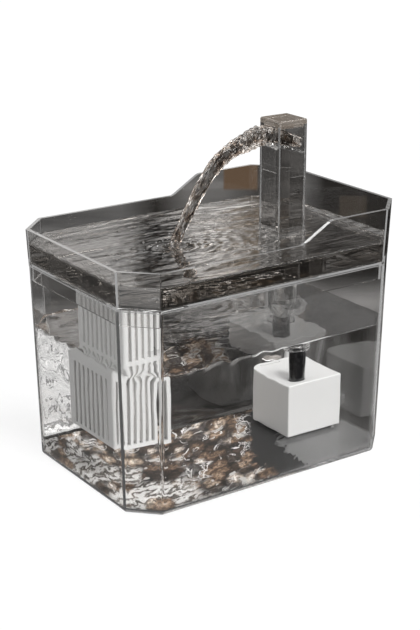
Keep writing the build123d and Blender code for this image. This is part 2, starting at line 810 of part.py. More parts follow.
cover_front = motor_front - volute_cover_thickness
with BuildPart() as volute_cover:
    with BuildSketch(rotor_plane.offset(cover_front)):
        Circle(volute_radius + volute_cover_margin)
        Circle(inlet_radius, mode=Mode.SUBTRACT)
    extrude(amount=volute_cover_thickness)
    spoke_end = inlet_radius + spoke_overlap
    with BuildSketch(rotor_plane.offset(motor_front - spider_thickness)):
        Circle(bush_radius + bush_holder_wall)
        with PolarLocations(0, 3):
            with Locations(((bush_radius + spoke_end) / 2, 0)):
                Rectangle(spoke_end - bush_radius, spoke_width)
        Circle(bush_radius + fit_clearance, mode=Mode.SUBTRACT)
    extrude(amount=spider_thickness)
finish(volute_cover, "volute_cover")

dial_front = cover_front - dial_gap - dial_thickness
dial_radius = inlet_radius + dial_overlap
with BuildPart() as flow_dial:
    with BuildSketch(rotor_plane.offset(dial_front)):
        Circle(dial_radius)
        with Locations(((dial_radius + dial_lever) / 2, 0)):
            Rectangle(dial_radius + dial_lever, dial_lever_width)
        Circle(inlet_radius - dial_opening_step, mode=Mode.SUBTRACT)
    extrude(amount=dial_thickness)
    with BuildSketch(rotor_plane.offset(dial_front)):
        with Locations((0, -inlet_radius / 2)):
            Rectangle(2 * inlet_radius, inlet_radius / 2)
    extrude(amount=dial_thickness)
finish(flow_dial, "flow_dial")

with BuildPart() as outlet_nozzle:
    with BuildSketch(Plane.XY.offset(motor_top - nozzle_depth)):
        with Locations((tower_x, 0)):
            Circle(nose_radius)
            Circle(nose_bore_radius, mode=Mode.SUBTRACT)
    extrude(amount=nose_bottom - nozzle_end_gap - motor_top + nozzle_depth)
finish(outlet_nozzle, "outlet_nozzle")

# ---------------------------------------------------------------- impeller
impeller_back = volute_back - running_gap
disc_front = impeller_back - impeller_disc
blades_front = motor_front + blade_front_gap
blade_tip = impeller_radius - blade_tip_gap
rotor_length = well_end - rear_bush_length - running_gap - impeller_back
with BuildPart() as impeller:
    with BuildSketch(rotor_plane.offset(disc_front)):
        Circle(impeller_radius)
    extrude(amount=impeller_disc)
    with BuildSketch(rotor_plane.offset(blades_front)):
        Circle(shaft_radius + hub_wall)
        with PolarLocations(0, blade_count):
            with Locations(((shaft_radius + blade_tip) / 2, 0)):
                Rectangle(blade_tip - shaft_radius, blade_thickness)
    extrude(amount=disc_front - blades_front)
    with BuildSketch(rotor_plane.offset(blades_front)):
        Circle(shaft_radius + fit_clearance)
    extrude(amount=impeller_back - blades_front, mode=Mode.SUBTRACT)
finish(impeller, "impeller")

with BuildPart() as rotor_magnet:
    with BuildSketch(rotor_plane.offset(impeller_back)):
        Circle(rotor_radius)
        Circle(shaft_radius + fit_clearance, mode=Mode.SUBTRACT)
    extrude(amount=rotor_length)
finish(rotor_magnet, "rotor_magnet")

shaft_front = motor_front - spider_thickness
with BuildPart() as impeller_shaft:
    with BuildSketch(rotor_plane.offset(shaft_front)):
        Circle(shaft_radius)
    extrude(amount=well_end - shaft_end_gap - shaft_front)
finish(impeller_shaft, "impeller_shaft")

with BuildPart() as shaft_bushes:
    with BuildSketch(rotor_plane.offset(shaft_front)):
        Circle(bush_radius)
        Circle(shaft_radius + fit_clearance, mode=Mode.SUBTRACT)
    extrude(amount=spider_thickness)
    with BuildSketch(rotor_plane.offset(well_end - rear_bush_length)):
        Circle(rotor_well_radius - fit_clearance)
        Circle(shaft_radius + fit_clearance, mode=Mode.SUBTRACT)
    extrude(amount=rear_bush_length)
finish(shaft_bushes, "shaft_bushes")

# ---------------------------------------------------------------- cord
with BuildPart() as cable_gland:
    with BuildSketch(Plane.YZ.offset(pump_right)):
        with Locations((lead_y, lead_z)):
            RectangleRounded(gland_length, gland_height, gland_corner_radius)
    extrude(amount=gland_width)
finish(cable_gland, "cable_gland")

rim_crossing = run_points[10]
grommet_hole_drop = tank_height - rim_crossing[2]
grommet_height = notch_depth - grommet_top_gap
grommet_middle = -grommet_top_gap - grommet_height / 2
with BuildPart() as cable_grommet:
    with BuildSketch(exit_plane.offset(-tank_wall / 2 - grommet_flange_thickness)):
        with Locations((0, grommet_middle - grommet_flange / 2)):
            Rectangle(notch_width + 2 * grommet_flange, grommet_height + grommet_flange)
    extrude(amount=grommet_flange_thickness - grommet_clearance)
    with BuildSketch(exit_plane.offset(tank_wall / 2 + grommet_clearance)):
        with Locations((0, grommet_middle - grommet_flange / 2)):
            Rectangle(notch_width + 2 * grommet_flange, grommet_height + grommet_flange)
    extrude(amount=grommet_flange_thickness)
    with BuildSketch(exit_plane.offset(-tank_wall / 2 - grommet_clearance)):
        with Locations((0, grommet_middle)):
            Rectangle(notch_width - 2 * grommet_clearance, grommet_height - 2 * grommet_clearance)
    extrude(amount=tank_wall + 2 * grommet_clearance)
    with BuildSketch(exit_plane):
        with Locations((0, -grommet_hole_drop)):
            Circle(cord_radius + grommet_bore_clearance)
    extrude(amount=2 * tank_wall, both=True, mode=Mode.SUBTRACT)
finish(cable_grommet, "cable_grommet")


def corner_radii(points):
    """The widest arc each corner of a route allows, from its shorter run and its turn."""
    radii = []
    for before, corner, after in zip(points, points[1:], points[2:]):
        run_in = Vector(*corner) - Vector(*before)
        run_out = Vector(*after) - Vector(*corner)
        half_turn = math.radians(run_in.get_angle(run_out)) / 2
        radii.append(0.45 * min(run_in.length, run_out.length) / math.tan(half_turn))
    return radii


def cord_along(points, name):
    """A plain tube along a route of straight runs and tangent arcs."""
    radii = corner_radii(points)
    with BuildPart() as cord:
        with BuildLine() as route:
            FilletPolyline(*points, radius=radii)
        path = route.wires()[0]
        with BuildSketch(Plane(origin=path @ 0, z_dir=path % 0)):
            Circle(cord_radius)
        sweep(path=path)
    expected = math.pi * cord_radius**2 * path.length
    print(name, "radii", [round(r, 1) for r in radii])
    print(name, "length", round(path.length, 1), "volume", round(cord.part.volume), round(expected))
    finish(cord, name)


cord_along(run_points, "cable_run")
cord_along(tail_points, "cable_tail")

with BuildPart() as cable_coil:
    with BuildSketch(Plane.XZ.offset(-coil_centre[1])):
        with Locations((coil_centre[0] + coil_radius, coil_base + coil_height / 2)):
            RectangleRounded(2 * coil_half_width, coil_height, coil_corner_radius)
    revolve(axis=Axis((*coil_centre, 0), (0, 0, 1)))
finish(cable_coil, "cable_coil")

tie_direction = Vector(math.cos(math.radians(tie_angle)), math.sin(math.radians(tie_angle)), 0)
tie_plane = Plane(
    origin=Vector(*coil_centre, 0) + tie_direction * coil_radius,
    x_dir=tie_direction,
    z_dir=Vector(-tie_direction.Y, tie_direction.X, 0) * -1,
)
with BuildPart() as coil_tie:
    with BuildSketch(tie_plane) as tie_section:
        with Locations((0, coil_base + coil_height / 2)):
            RectangleRounded(
                2 * (coil_half_width + tie_thickness + tie_slack),
                2 * coil_base + coil_height,
                coil_corner_radius + tie_slack,
            )
            RectangleRounded(
                2 * (coil_half_width + tie_slack),
                coil_height + 2 * tie_clearance,
                coil_corner_radius - tie_slack,
                mode=Mode.SUBTRACT,
            )
    extrude(amount=tie_width / 2, both=True)
finish(coil_tie, "coil_tie")

# ---------------------------------------------------------------- USB plug
plug_start = Vector(*tail_points[-1])
plug_axis = (plug_start - Vector(*tail_points[-2])).normalized()
plug_plane = Plane(origin=plug_start, x_dir=Vector(-plug_axis.Y, plug_axis.X, 0), z_dir=plug_axis)
body_plane = plug_plane.offset(relief_length)
shell_plane = body_plane.offset(plug_length)

with BuildPart() as plug_relief:
    with BuildSketch(plug_plane):
        Circle(cord_radius + relief_start_step)
    with BuildSketch(body_plane):
        Circle(relief_radius)
    loft()
finish(plug_relief, "plug_relief")

with BuildPart() as plug_body:
    with BuildSketch(body_plane):
        RectangleRounded(plug_width, plug_height, plug_corner_radius)
    extrude(amount=plug_length)
    fillet(plug_body.faces().filter_by(body_plane).edges(), radius=plug_edge_radius)
finish(plug_body, "plug_body")

with BuildPart() as plug_shell:
    with BuildSketch(shell_plane):
        RectangleRounded(shell_width, shell_height, shell_corner_radius)
        RectangleRounded(
            shell_width - 2 * shell_wall,
            shell_height - 2 * shell_wall,
            shell_corner_radius - shell_wall,
            mode=Mode.SUBTRACT,
        )
    extrude(amount=shell_length)
    window_plane = Plane(
        origin=shell_plane.origin + plug_axis * (shell_length - shell_window_setback),
        x_dir=shell_plane.x_dir,
        z_dir=(0, 0, 1),
    )
    with BuildSketch(window_plane):
        with GridLocations(shell_window_spacing, 1, 2, 1):
            Rectangle(shell_window, shell_window)
    extrude(amount=shell_height, both=True, mode=Mode.SUBTRACT)
finish(plug_shell, "plug_shell")

tongue_drop = shell_height / 2 - shell_wall - tongue_gap - tongue_height / 2
with BuildPart() as plug_tongue:
    with BuildSketch(shell_plane):
        with Locations((0, -tongue_drop)):
            Rectangle(tongue_width, tongue_height)
    extrude(amount=shell_length - tongue_setback)
finish(plug_tongue, "plug_tongue")

with BuildPart() as plug_contacts:
    contact_rise = -tongue_drop + tongue_height / 2 + contact_thickness / 2
    with BuildSketch(shell_plane.offset(shell_length - contact_setback - contact_length)):
        with Locations((0, contact_rise)):
            with GridLocations(contact_pitch, 1, 4, 1):
                Rectangle(contact_width, contact_thickness)
    extrude(amount=contact_length)
finish(plug_contacts, "plug_contacts")
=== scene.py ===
"""Looks of the pet water fountain: smoked clear tank and tray, running water, pump, filter and cord.

Metres, +Z up, origin at the centre of the tank's underside. Each operator makes or finishes one
piece or one group of like pieces, and one of them builds the studio.
"""

import math

import bpy
import numpy as np
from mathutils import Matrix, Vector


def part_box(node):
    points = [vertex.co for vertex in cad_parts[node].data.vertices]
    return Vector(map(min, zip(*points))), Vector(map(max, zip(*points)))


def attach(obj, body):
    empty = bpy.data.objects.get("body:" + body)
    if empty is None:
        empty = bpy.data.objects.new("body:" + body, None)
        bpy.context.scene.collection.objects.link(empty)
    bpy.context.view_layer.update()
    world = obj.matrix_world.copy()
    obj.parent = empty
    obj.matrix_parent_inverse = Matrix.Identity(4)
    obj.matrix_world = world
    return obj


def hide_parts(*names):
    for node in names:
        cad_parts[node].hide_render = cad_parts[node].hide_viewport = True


bl_info = {
    "name": "Pet Water Fountain",
    "version": (1, 0, 0),
    "blender": (4, 5, 0),
    "location": "View3D > Sidebar > Fountain",
    "description": "Finishes, water, cord and studio of a clear pet water fountain",
    "category": "Object",
}

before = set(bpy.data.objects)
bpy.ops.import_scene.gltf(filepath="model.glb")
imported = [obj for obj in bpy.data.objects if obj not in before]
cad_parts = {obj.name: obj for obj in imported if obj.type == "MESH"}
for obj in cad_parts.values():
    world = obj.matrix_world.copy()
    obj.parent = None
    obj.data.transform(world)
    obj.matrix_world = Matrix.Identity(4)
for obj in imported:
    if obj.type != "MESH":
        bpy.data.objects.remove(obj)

MM = 0.001

# Sizes of the fixed frame that the water follows, in millimetres and degrees
JOINT_LENGTH = 212.8
JOINT_WIDTH = 149.2
JOINT_HEIGHT = 135.0
CORNER_CUT = 19.3
WALL = 2.5
TANK_DRAFT = 1.38
TRAY_DRAFT = 2.4
TANK_FLOOR = 3.0
TRAY_FLOOR = 137.0
TOWER_X = 59.0
TOWER_SIDE = 22.9
TOWER_WALL = 2.0
TOWER_FOOT = 141.0
# The top of the spout ramp at its back, where that is, and how much it falls over its length
RAMP_TOP = 206.6
RAMP_BACK = 47.5
RAMP_SLOPE = 7.5 / 22.15

# Gaps between water and walls, and under the ramp, in millimetres
WATER_GAP = 0.15
FLOOR_GAP = 0.1
RAMP_GAP = 0.4

# Points along the eight sides of the tank's and the tray's water, and rows of their grids
TANK_SIDES = (76, 16, 52, 16, 76, 16, 52, 16)
TRAY_SIDES = (96, 20, 64, 20, 96, 20, 64, 20)
WALL_ROWS = 26
SURFACE_ROWS = 95
TRAY_ROWS = 118
TRAY_WALL_ROWS = 6
BLOCK_CAP_ROWS = 5
# Points of the tank's outline on the tower end's wall and its two cut corners
END_SIDES = (76, 160)
# Where the tray's outline comes to the last cut corner, on the drinking end's front
FRONT_FACET = sum(TRAY_SIDES[:-1])

# Refraction: the tank and the tower show their inside less shifted than full water would
PLASTIC_INDEX = 1.45
SEAL_INDEX = 1.41
TANK_INDEX = 1.2
WATER_INDEX = 1.33

# Bounces after which a ray that a clear wall keeps inside sees the wall's own painted glow, an emission in
# place of light gathered in the plastic; how bright that is in the rims and the tower end and in the other
# edges, and the heights and X where the first two begin
CAUGHT_DEPTH = 13.5
RIM_GLOW = 0.38
EDGE_GLOW = 0.10
RIM_HEIGHTS = (0.118, 0.126)
TOWER_END = (0.085, 0.095)

# The cord's route from the pump's strain relief to the coil, and from the coil to the plug
RUN_POINTS = [
    (95.4, 24, 12.5), (95.6, 36, 11.5), (94.6, 48, 12.5), (91.4, 57.6, 20), (90.4, 58.6, 34),
    (89, 57.4, 50), (86.8, 55.2, 68), (85.8, 54.4, 87), (86.6, 55, 105), (87.6, 55.9, 122.3),
    (92.6, 60.9, 129.3), (99.6, 67.9, 129.3), (104.6, 72.9, 122.3), (105, 74.3, 104),
    (103.6, 76.4, 85), (102.4, 78.8, 66), (100, 80.4, 47), (97.2, 82.8, 30), (97.3, 82.3, 16.7),
    (102.3, 77.3, 9.65),
]
TAIL_POINTS = [(149, 88.5, 3.2), (150.6, 98.5, 4), (147, 108, 4)]
CORD_DIAMETER = 3.5
# The coil's middle, the angles where the cord enters and leaves it, and its whole turns between them
COIL_CENTRE = (121.0, 89.0)
COIL_START = 225.0
COIL_END = 335.0
WHOLE_TURNS = 7
POINTS_PER_TURN = 14
# Where the coil's radius and height change, counted in turns from its start
COIL_TURNS = [0, 0.62, 0.9, 1.75, 2.0, 2.75, 3.0, 3.75, 4.0, 4.75, 5.0, 5.75, 6.0, 6.75, 7.0, 7.31]
COIL_RADII = [21.5, 21.5, 25, 25, 25, 25, 21.5, 21.5, 18, 18, 18, 18, 21.5, 21.5, 25, 25]
COIL_HEIGHTS = [9.65] * 4 + [6.15] * 6 + [2.65] * 6

# The stream's middle line and section: x, y, z, width across and thickness
STREAM = np.array([
    (67.2, 0.0, 207.2, 18.3, 7.5), (58.0, 0.0, 210.2, 18.3, 9.5), (48.5, 0.0, 213.6, 17.6, 11.0),
    (39.0, -0.5, 213.7, 15.6, 12.5), (30.0, -1.1, 211.7, 12.8, 12.4), (21.0, -1.7, 209.4, 10.6, 11.2),
    (13.0, -2.3, 206.4, 9.7, 10.1), (4.5, -2.9, 201.6, 9.0, 9.4), (-2.8, -3.3, 194.9, 8.5, 8.9),
    (-10.2, -3.8, 186.3, 8.0, 8.2), (-18.0, -4.4, 175.3, 7.5, 7.5), (-25.6, -4.9, 163.4, 7.0, 7.0),
    (-31.6, -5.3, 153.0, 6.6, 6.6), (-34.2, -5.5, 148.2, 6.4, 6.4),
])
MOUTH_X = 47.0
# The middle of the splash and the height its drops start from
LANDING = (-32.5, -5.4)
SPLASH_HEIGHT = 151.4
# How much shorter the stream's patterns see it along the flow
FLOW_STRETCH = 0.32

# Studio: the camera, the sun, the light paths and, in millimetres, the extent of floor and surround
CAMERA_PLACE = (-0.5300, -0.7676, 0.4220)
CAMERA_ELEVATION = 19.259
CAMERA_AZIMUTH = -34.596
LENS = 83.95
SUN_TURN = (46, 0, 8)
SUN_ANGLE = 25
BOUNCES = 32
FLOOR_REACH = 12000
FLOOR_DROP = 0.4
SURROUND_RADIUS = 30000.0


# ---------------------------------------------------------------- meshes
def mesh_piece(name, points, faces, materials=(), face_material=None, smooth=True):
    """A mesh object at the origin from points in millimetres and faces as index rows."""
    mesh = bpy.data.meshes.new(name)
    mesh.from_pydata((np.asarray(points, float) * MM).tolist(), [], [list(f) for f in faces])
    for material in materials:
        mesh.materials.append(material)
    if face_material is not None:
        mesh.polygons.foreach_set("material_index", np.asarray(face_material, np.int32))
    mesh.polygons.foreach_set("use_smooth", np.full(len(mesh.polygons), smooth))
    mesh.update()
    piece = bpy.data.objects.new(name, mesh)
    bpy.context.scene.collection.objects.link(piece)
    return piece


def quads(rows, columns, wrap_rows=False):
    """Faces between the points of a grid that closes on itself along its columns."""
    row = np.arange(rows if wrap_rows else rows - 1)[:, None]
    column = np.arange(columns)[None, :]
    following = (row + 1) % rows
    beside = (column + 1) % columns
    corners = [
        row * columns + column, row * columns + beside,
        following * columns + beside, following * columns + column,
    ]
    return np.stack(np.broadcast_arrays(*corners), -1).reshape(-1, 4)


def outward(points, *face_sets):
    """The face sets, turned round if the volume they enclose, summed as tetrahedra, is negative."""
    total = 0.0
    for faces in face_sets:
        for i in range(1, faces.shape[1] - 1):
            a, b, c = points[faces[:, 0]], points[faces[:, i]], points[faces[:, i + 1]]
            total += float(np.einsum("ij,ij->", a, np.cross(b, c)))
    return face_sets if total >= 0 else [faces[:, ::-1] for faces in face_sets]


def shell(rings):
    """Points and faces of a closed skin over rings (K, M, 3) whose first and last ring are one point."""
    count, around = rings.shape[0] - 2, rings.shape[1]
    points = np.concatenate([rings[1:-1].reshape(-1, 3), rings[0, :1], rings[-1, :1]])
    low, high = count * around, count * around + 1
    here = np.arange(around)
    beside = (here + 1) % around
    last = (count - 1) * around
    caps = np.concatenate([
        np.stack([np.full(around, low), beside, here], 1),
        np.stack([np.full(around, high), last + here, last + beside], 1),
    ])
    grid, caps = outward(points, quads(count, around), caps)
    return points, grid, caps


def closed_piece(name, rings, material, smooth=True):
    """A piece with a closed skin over rings."""
    points, grid, caps = shell(rings)
    return mesh_piece(name, points, grid.tolist() + caps.tolist(), [material], smooth=smooth)


def between(start, end, shares):
    """Rings at the given shares of the way from one ring or point to another."""
    return start + (end - start) * np.asarray(shares)[:, None, None]


def at_height(outline, z):
    """The outline's points with z added."""
    return np.concatenate([outline, np.full((len(outline), 1), z)], 1)


def tank_outline(z, inset, counts=TANK_SIDES):
    """Points round the eight-sided outline at height z, moved in by inset.

    The half sizes are half the joint's less the inset and the draft's share, and each corner is
    cut by the joint's cut less (2 - sqrt 2) times the same amount.
    """
    draft = TANK_DRAFT if z <= JOINT_HEIGHT else TRAY_DRAFT
    moved = inset + (JOINT_HEIGHT - z) * math.tan(math.radians(draft))
    a = JOINT_LENGTH / 2 - moved
    b = JOINT_WIDTH / 2 - moved
    cut = CORNER_CUT - (2 - math.sqrt(2)) * moved
    corners = np.array([
        (-a + cut, -b), (a - cut, -b), (a, -b + cut), (a, b - cut),
        (a - cut, b), (-a + cut, b), (-a, b - cut), (-a, -b + cut),
    ])
    sides = [
        start + (end - start) * np.linspace(0, 1, count, endpoint=False)[:, None]
        for start, end, count in zip(corners, np.roll(corners, -1, axis=0), counts)
    ]
    return np.concatenate(sides)


def waves(x, y, seed, count, length, spread, direction, turn):
    """A sum of sines over the plane, about length apart, with crests along direction plus or minus turn."""
    dice = np.random.default_rng(seed)
    size = length * np.exp(dice.uniform(-spread, spread, count))
    angle = np.radians(direction + 90 + dice.uniform(-turn, turn, count))
    phase = dice.uniform(0, 2 * np.pi, count)
    turnings = 2 * np.pi / size
    shape = (-1,) + (1,) * np.ndim(x)
    kx, ky = (turnings * np.cos(angle)).reshape(shape), (turnings * np.sin(angle)).reshape(shape)
    height = np.sin(kx * x + ky * y + phase.reshape(shape)) * (size / length).reshape(shape)
    return height.sum(0) / math.sqrt(count)


def smooth_rise(value, start, end):
    """0 below start, 1 above end, with an S curve between."""
    t = np.clip((value - start) / (end - start), 0, 1)
    return t * t * (3 - 2 * t)


def smooth_path(points, count):
    """Count points along a Catmull-Rom curve through points: each span is a cubic that leaves and
    meets its ends in the direction of the neighbours on either side."""
    points = np.asarray(points, float)
    padded = np.concatenate([[2 * points[0] - points[1]], points, [2 * points[-1] - points[-2]]])
    place = np.linspace(0, len(points) - 1, count)
    span = np.minimum(place.astype(int), len(points) - 2)
    t = (place - span)[:, None]
    p0, p1, p2, p3 = (padded[span + i] for i in range(4))
    return 0.5 * (
        2 * p1 + (p2 - p0) * t + (2 * p0 - 5 * p1 + 4 * p2 - p3) * t**2
        + (3 * p1 - p0 - 3 * p2 + p3) * t**3
    )


def rounded(wave, power):
    """A sine or cosine that keeps its sign and is raised to a power: under 1, it squares the circle."""
    return np.sign(wave) * np.abs(wave) ** power


def soft_block(low, high, corner, crown, rows, around, pinch=0.0):
    """Rings of a padded block: each ring is a rounded rectangle, cos and sin raised to a small power,
    bulged by crown half way up and drawn in by pinch at its ends."""
    low, high = np.asarray(low, float), np.asarray(high, float)
    middle, half = (low + high) / 2, (high - low) / 2
    angle = np.linspace(0, 2 * np.pi, around, endpoint=False)
    rise = np.linspace(0, 1, rows)
    belly = 4 * rise * (1 - rise)
    rounding = np.minimum(rise, 1 - rise) * 2 * half[2] / corner
    edge = corner * (1 - np.sqrt(np.clip(1 - (1 - np.clip(rounding, 0, 1)) ** 2, 0, 1)))
    reach_x = half[0] - crown * (1 - belly) - edge - pinch * (1 - np.clip(rounding / 3, 0, 1))
    reach_y = half[1] - crown * (1 - belly) - edge
    side = np.stack([
        middle[0] + reach_x[:, None] * rounded(np.cos(angle), 2 / 7),
        middle[1] + reach_y[:, None] * rounded(np.sin(angle), 2 / 7),
        np.broadcast_to((low[2] + rise * 2 * half[2])[:, None], (rows, around)),
    ], -1)
    share = np.linspace(0, 1, BLOCK_CAP_ROWS + 1)
    floor = between(np.array([*middle[:2], low[2]]), side[0], share[:-1])
    roof = between(np.array([*middle[:2], high[2]]), side[-1], share[::-1][1:])
    return np.concatenate([floor, side, roof])


def ball(rows, columns, height=1.0):
    """Rings of a ball of radius 1 by latitude and longitude, stretched to height at its poles."""
    tilt = np.linspace(0, np.pi, rows)[:, None]
    turn = np.linspace(0, 2 * np.pi, columns, endpoint=False)
    up = np.cos(tilt) * height + 0 * turn
    return np.stack([np.sin(tilt) * np.cos(turn), np.sin(tilt) * np.sin(turn), up], -1)


# ---------------------------------------------------------------- shader nodes
class Nodes:
    """Adds nodes to one tree: an input that is a socket is linked, and any other value is set."""

    def __init__(self, tree):
        self.tree = tree
        self.axis_sockets = None

    def add(self, kind, inputs=None, **settings):
        """A new shader node."""
        made = self.tree.nodes.new("ShaderNode" + kind)
        for name, value in settings.items():
            setattr(made, name, value)
        for name, value in (inputs or {}).items():
            if isinstance(value, bpy.types.NodeSocket):
                self.tree.links.new(value, made.inputs[name])
            else:
                made.inputs[name].default_value = value
        return made

    def maths(self, operation, first, second=0.0, clamp=False):
        """The result of one Math node."""
        return self.add("Math", {0: first, 1: second}, operation=operation, use_clamp=clamp).outputs[0]

    def plus(self, first, second):
        """The sum of two values."""
        return self.maths("ADD", first, second)

    def times(self, first, second):
        """The product of two values."""
        return self.maths("MULTIPLY", first, second)

    def larger(self, first, second):
        """The larger of two values."""
        return self.maths("MAXIMUM", first, second)

    def scaled(self, value, low, high, first=0.0, last=1.0, curve="LINEAR"):
        """value from low to high, moved to run from first to last."""
        places = {0: value, 1: low, 2: high, 3: first, 4: last}
        return self.add("MapRange", places, interpolation_type=curve).outputs[0]

    def band(self, value, start, end, soft):
        """1 where value lies between start and end, fading over soft outside them."""
        into = self.scaled(value, start - soft, start, curve="SMOOTHSTEP")
        return self.times(into, self.scaled(value, end + soft, end, curve="SMOOTHSTEP"))

    def blend(self, factor, first, second, kind="MIX"):
        """The colour of a Mix node."""
        colours = {0: factor, 6: first, 7: second}
        return self.add("Mix", colours, data_type="RGBA", blend_type=kind).outputs[2]

    def dyed(self, first, second):
        """One colour times another."""
        return self.blend(1.0, first, second, "MULTIPLY")

    def even(self, level):
        """The grey of a level."""
        return self.add("CombineColor", {0: level, 1: level, 2: level}).outputs[0]

    def ramp(self, value, stops, interpolation="LINEAR"):
        """The colour that (place, red, green, blue) stops give for value, which runs from 0 to 1."""
        made = self.add("ValToRGB", {0: value})
        made.color_ramp.interpolation = interpolation
        elements = made.color_ramp.elements
        while len(elements) < len(stops):
            elements.new(0.5)
        for element, (place, *colour) in zip(elements, stops):
            element.position = place
            element.color = (*colour, 1.0)
        return made.outputs[0]

    def coordinates(self):
        """Object coordinates."""
        return self.add("TexCoord").outputs["Object"]

    def place(self, stretch=(1.0, 1.0, 1.0)):
        """Object coordinates, stretched."""
        return self.add("Mapping", {"Vector": self.coordinates(), "Scale": stretch}).outputs[0]

    def axes(self):
        """X, Y and Z of the object coordinates."""
        if self.axis_sockets is None:
            self.axis_sockets = list(self.add("SeparateXYZ", {0: self.coordinates()}).outputs)
        return self.axis_sockets

    def noise(self, place, scale, detail=2.0, distortion=0.0):
        """The height of a noise."""
        look = {"Vector": place, "Scale": scale, "Detail": detail, "Distortion": distortion}
        return self.add("TexNoise", look).outputs[0]

    def flat_noise(self, x, y, *look):
        """A noise over a plane of two values."""
        return self.noise(self.add("CombineXYZ", {0: x, 1: y}).outputs[0], *look)

    def bump(self, height, depth, strength=1.0, under=None, invert=False):
        """The normal that a height gives, on top of the normal under it."""
        inputs = {"Height": height, "Strength": strength, "Distance": depth}
        if under is not None:
            inputs["Normal"] = under
        return self.add("Bump", inputs, invert=invert).outputs[0]

    def principled(self, inputs):
        """A principled shader."""
        return self.add("BsdfPrincipled", inputs).outputs[0]

    def glow(self, colour, strength=1.0):
        """A shader that gives off light."""
        return self.add("Emission", {"Color": colour, "Strength": strength}).outputs[0]

    def mixed(self, share, first, second):
        """The first shader, with a share of the second in its place."""
        return self.add("MixShader", {0: share, 1: first, 2: second}).outputs[0]

    def veiled(self, shader, share, colour):
        """The shader with a share of it given to a matt diffuse colour, which on the waters is painted
        sheen.
        """
        return self.mixed(share, shader, self.add("BsdfDiffuse", {"Color": colour}).outputs[0])

    def seen_background(self):
        """1 for camera, glossy and transmission rays."""
        path = self.add("LightPath").outputs
        total = self.plus(path["Is Camera Ray"], path["Is Glossy Ray"])
        return self.maths("ADD", total, path["Is Transmission Ray"], clamp=True)

    def let_light_through(self, shader):
        """Shadow and diffuse rays pass a clear piece, and rays that its walls have held for long see a pale
        painted glow, an emission in place of the light that gathers in edges and rims; other rays meet the
        piece's own shader."""
        path = self.add("LightPath").outputs
        passing = self.larger(path["Is Shadow Ray"], path["Is Diffuse Ray"])
        open_way = self.add("BsdfTransparent", {"Color": (1.0, 1.0, 1.0, 1.0)}).outputs[0]
        lit = self.mixed(passing, shader, open_way)
        caught = self.maths("GREATER_THAN", path["Ray Depth"], CAUGHT_DEPTH)
        x, _, z = self.axes()
        at_rim = self.larger(self.scaled(z, *RIM_HEIGHTS), self.scaled(x, *TOWER_END))
        level = self.scaled(at_rim, 0.0, 1.0, EDGE_GLOW, RIM_GLOW)
        return self.mixed(caught, lit, self.glow(self.even(level)))


class Material(Nodes):
    """The nodes of a new material."""

    def __init__(self, name):
        self.material = bpy.data.materials.new(name)
        self.material.use_nodes = True
        super().__init__(self.material.node_tree)
        self.tree.nodes.clear()

    def finished(self, shader):
        """The material with the shader as its surface."""
        self.add("OutputMaterial", {0: shader})
        return self.material


def grey(value, warmth=0.0):
    """A grey that is a little warmer in red and cooler in blue by warmth."""
    return (value * (1 + warmth), value, value * (1 - warmth), 1.0)


def rgba(colour):
    """A property colour with its alpha."""
    return (*colour, 1.0)


def effect(name, inputs, outputs, fill):
    """The named node group, made the first time. fill takes its nodes and its input sockets, and gives the
    sockets of its outputs in their order."""
    if name in bpy.data.node_groups:
        return bpy.data.node_groups[name]
    group = bpy.data.node_groups.new(name, "ShaderNodeTree")
    for label, default in inputs.items():
        kind = "NodeSocketColor" if isinstance(default, tuple) else "NodeSocketFloat"
        group.interface.new_socket(label, in_out="INPUT", socket_type=kind).default_value = default
    for label, kind in outputs.items():
        group.interface.new_socket(label, in_out="OUTPUT", socket_type=kind)
    given, result = group.nodes.new("NodeGroupInput"), group.nodes.new("NodeGroupOutput")
    for socket, end in zip(fill(Nodes(group), given.outputs), result.inputs):
        group.links.new(socket, end)
    return group


def moulded_grain():
    """Fine grain of moulded plastic or rubber: a tone, a roughness and a height from two noises."""
    def fill(new, given):
        place = new.place()
        fine = new.noise(place, given["Grain Size"], 3.0)
        shift = new.times(new.maths("SUBTRACT", new.noise(place, 38.0, 4.0), 0.5), given["Spread"])
        tone = new.even(new.plus(new.times(shift, 1.2), 1.0))
        worn = new.plus(given["Roughness"], new.times(shift, 2.0))
        return new.dyed(given["Colour"], tone), worn, fine

    return effect(
        "moulded_grain",
        {"Colour": (0.8, 0.8, 0.8, 1.0), "Roughness": 0.5, "Grain Size": 900.0, "Spread": 0.06},
        {"Colour": "NodeSocketColor", "Roughness": "NodeSocketFloat", "Height": "NodeSocketFloat"},
        fill,
    )


def moulding_flow():
    """Slow waviness of a clear moulded wall and faint smears on it: a tint and a height."""
    def fill(new, given):
        smear = new.noise(new.place((1, 1, 0.3)), 60.0, 3.0)
        shift = new.times(new.maths("SUBTRACT", smear, 0.5), given["Smear"])
        tint = new.dyed(given["Tint"], new.even(new.plus(shift, 1.0)))
        return tint, new.noise(new.place((1, 1, 0.45)), 26.0)

    return effect(
        "moulding_flow",
        {"Tint": (0.8, 0.8, 0.8, 1.0), "Smear": 0.04},
        {"Tint": "NodeSocketColor", "Height": "NodeSocketFloat"},
        fill,
    )


def clear_plastic(name, tint, index=PLASTIC_INDEX, roughness=0.0, veil=0.0, veil_colour=None):
    """Smoked clear plastic: a tint, slow waviness in the surface, and light let through to what is inside.

    veil is the share that a matt film of veil_colour hides."""
    new = Material(name)
    flow = new.add("Group", {"Tint": tint}, node_tree=moulding_flow()).outputs
    shader = new.principled({
        "Base Color": flow["Tint"], "Roughness": roughness, "IOR": index,
        "Transmission Weight": 1.0, "Normal": new.bump(flow["Height"], 0.00005),
    })
    if veil:
        shader = new.veiled(shader, veil, veil_colour)
    return new.finished(new.let_light_through(shader))


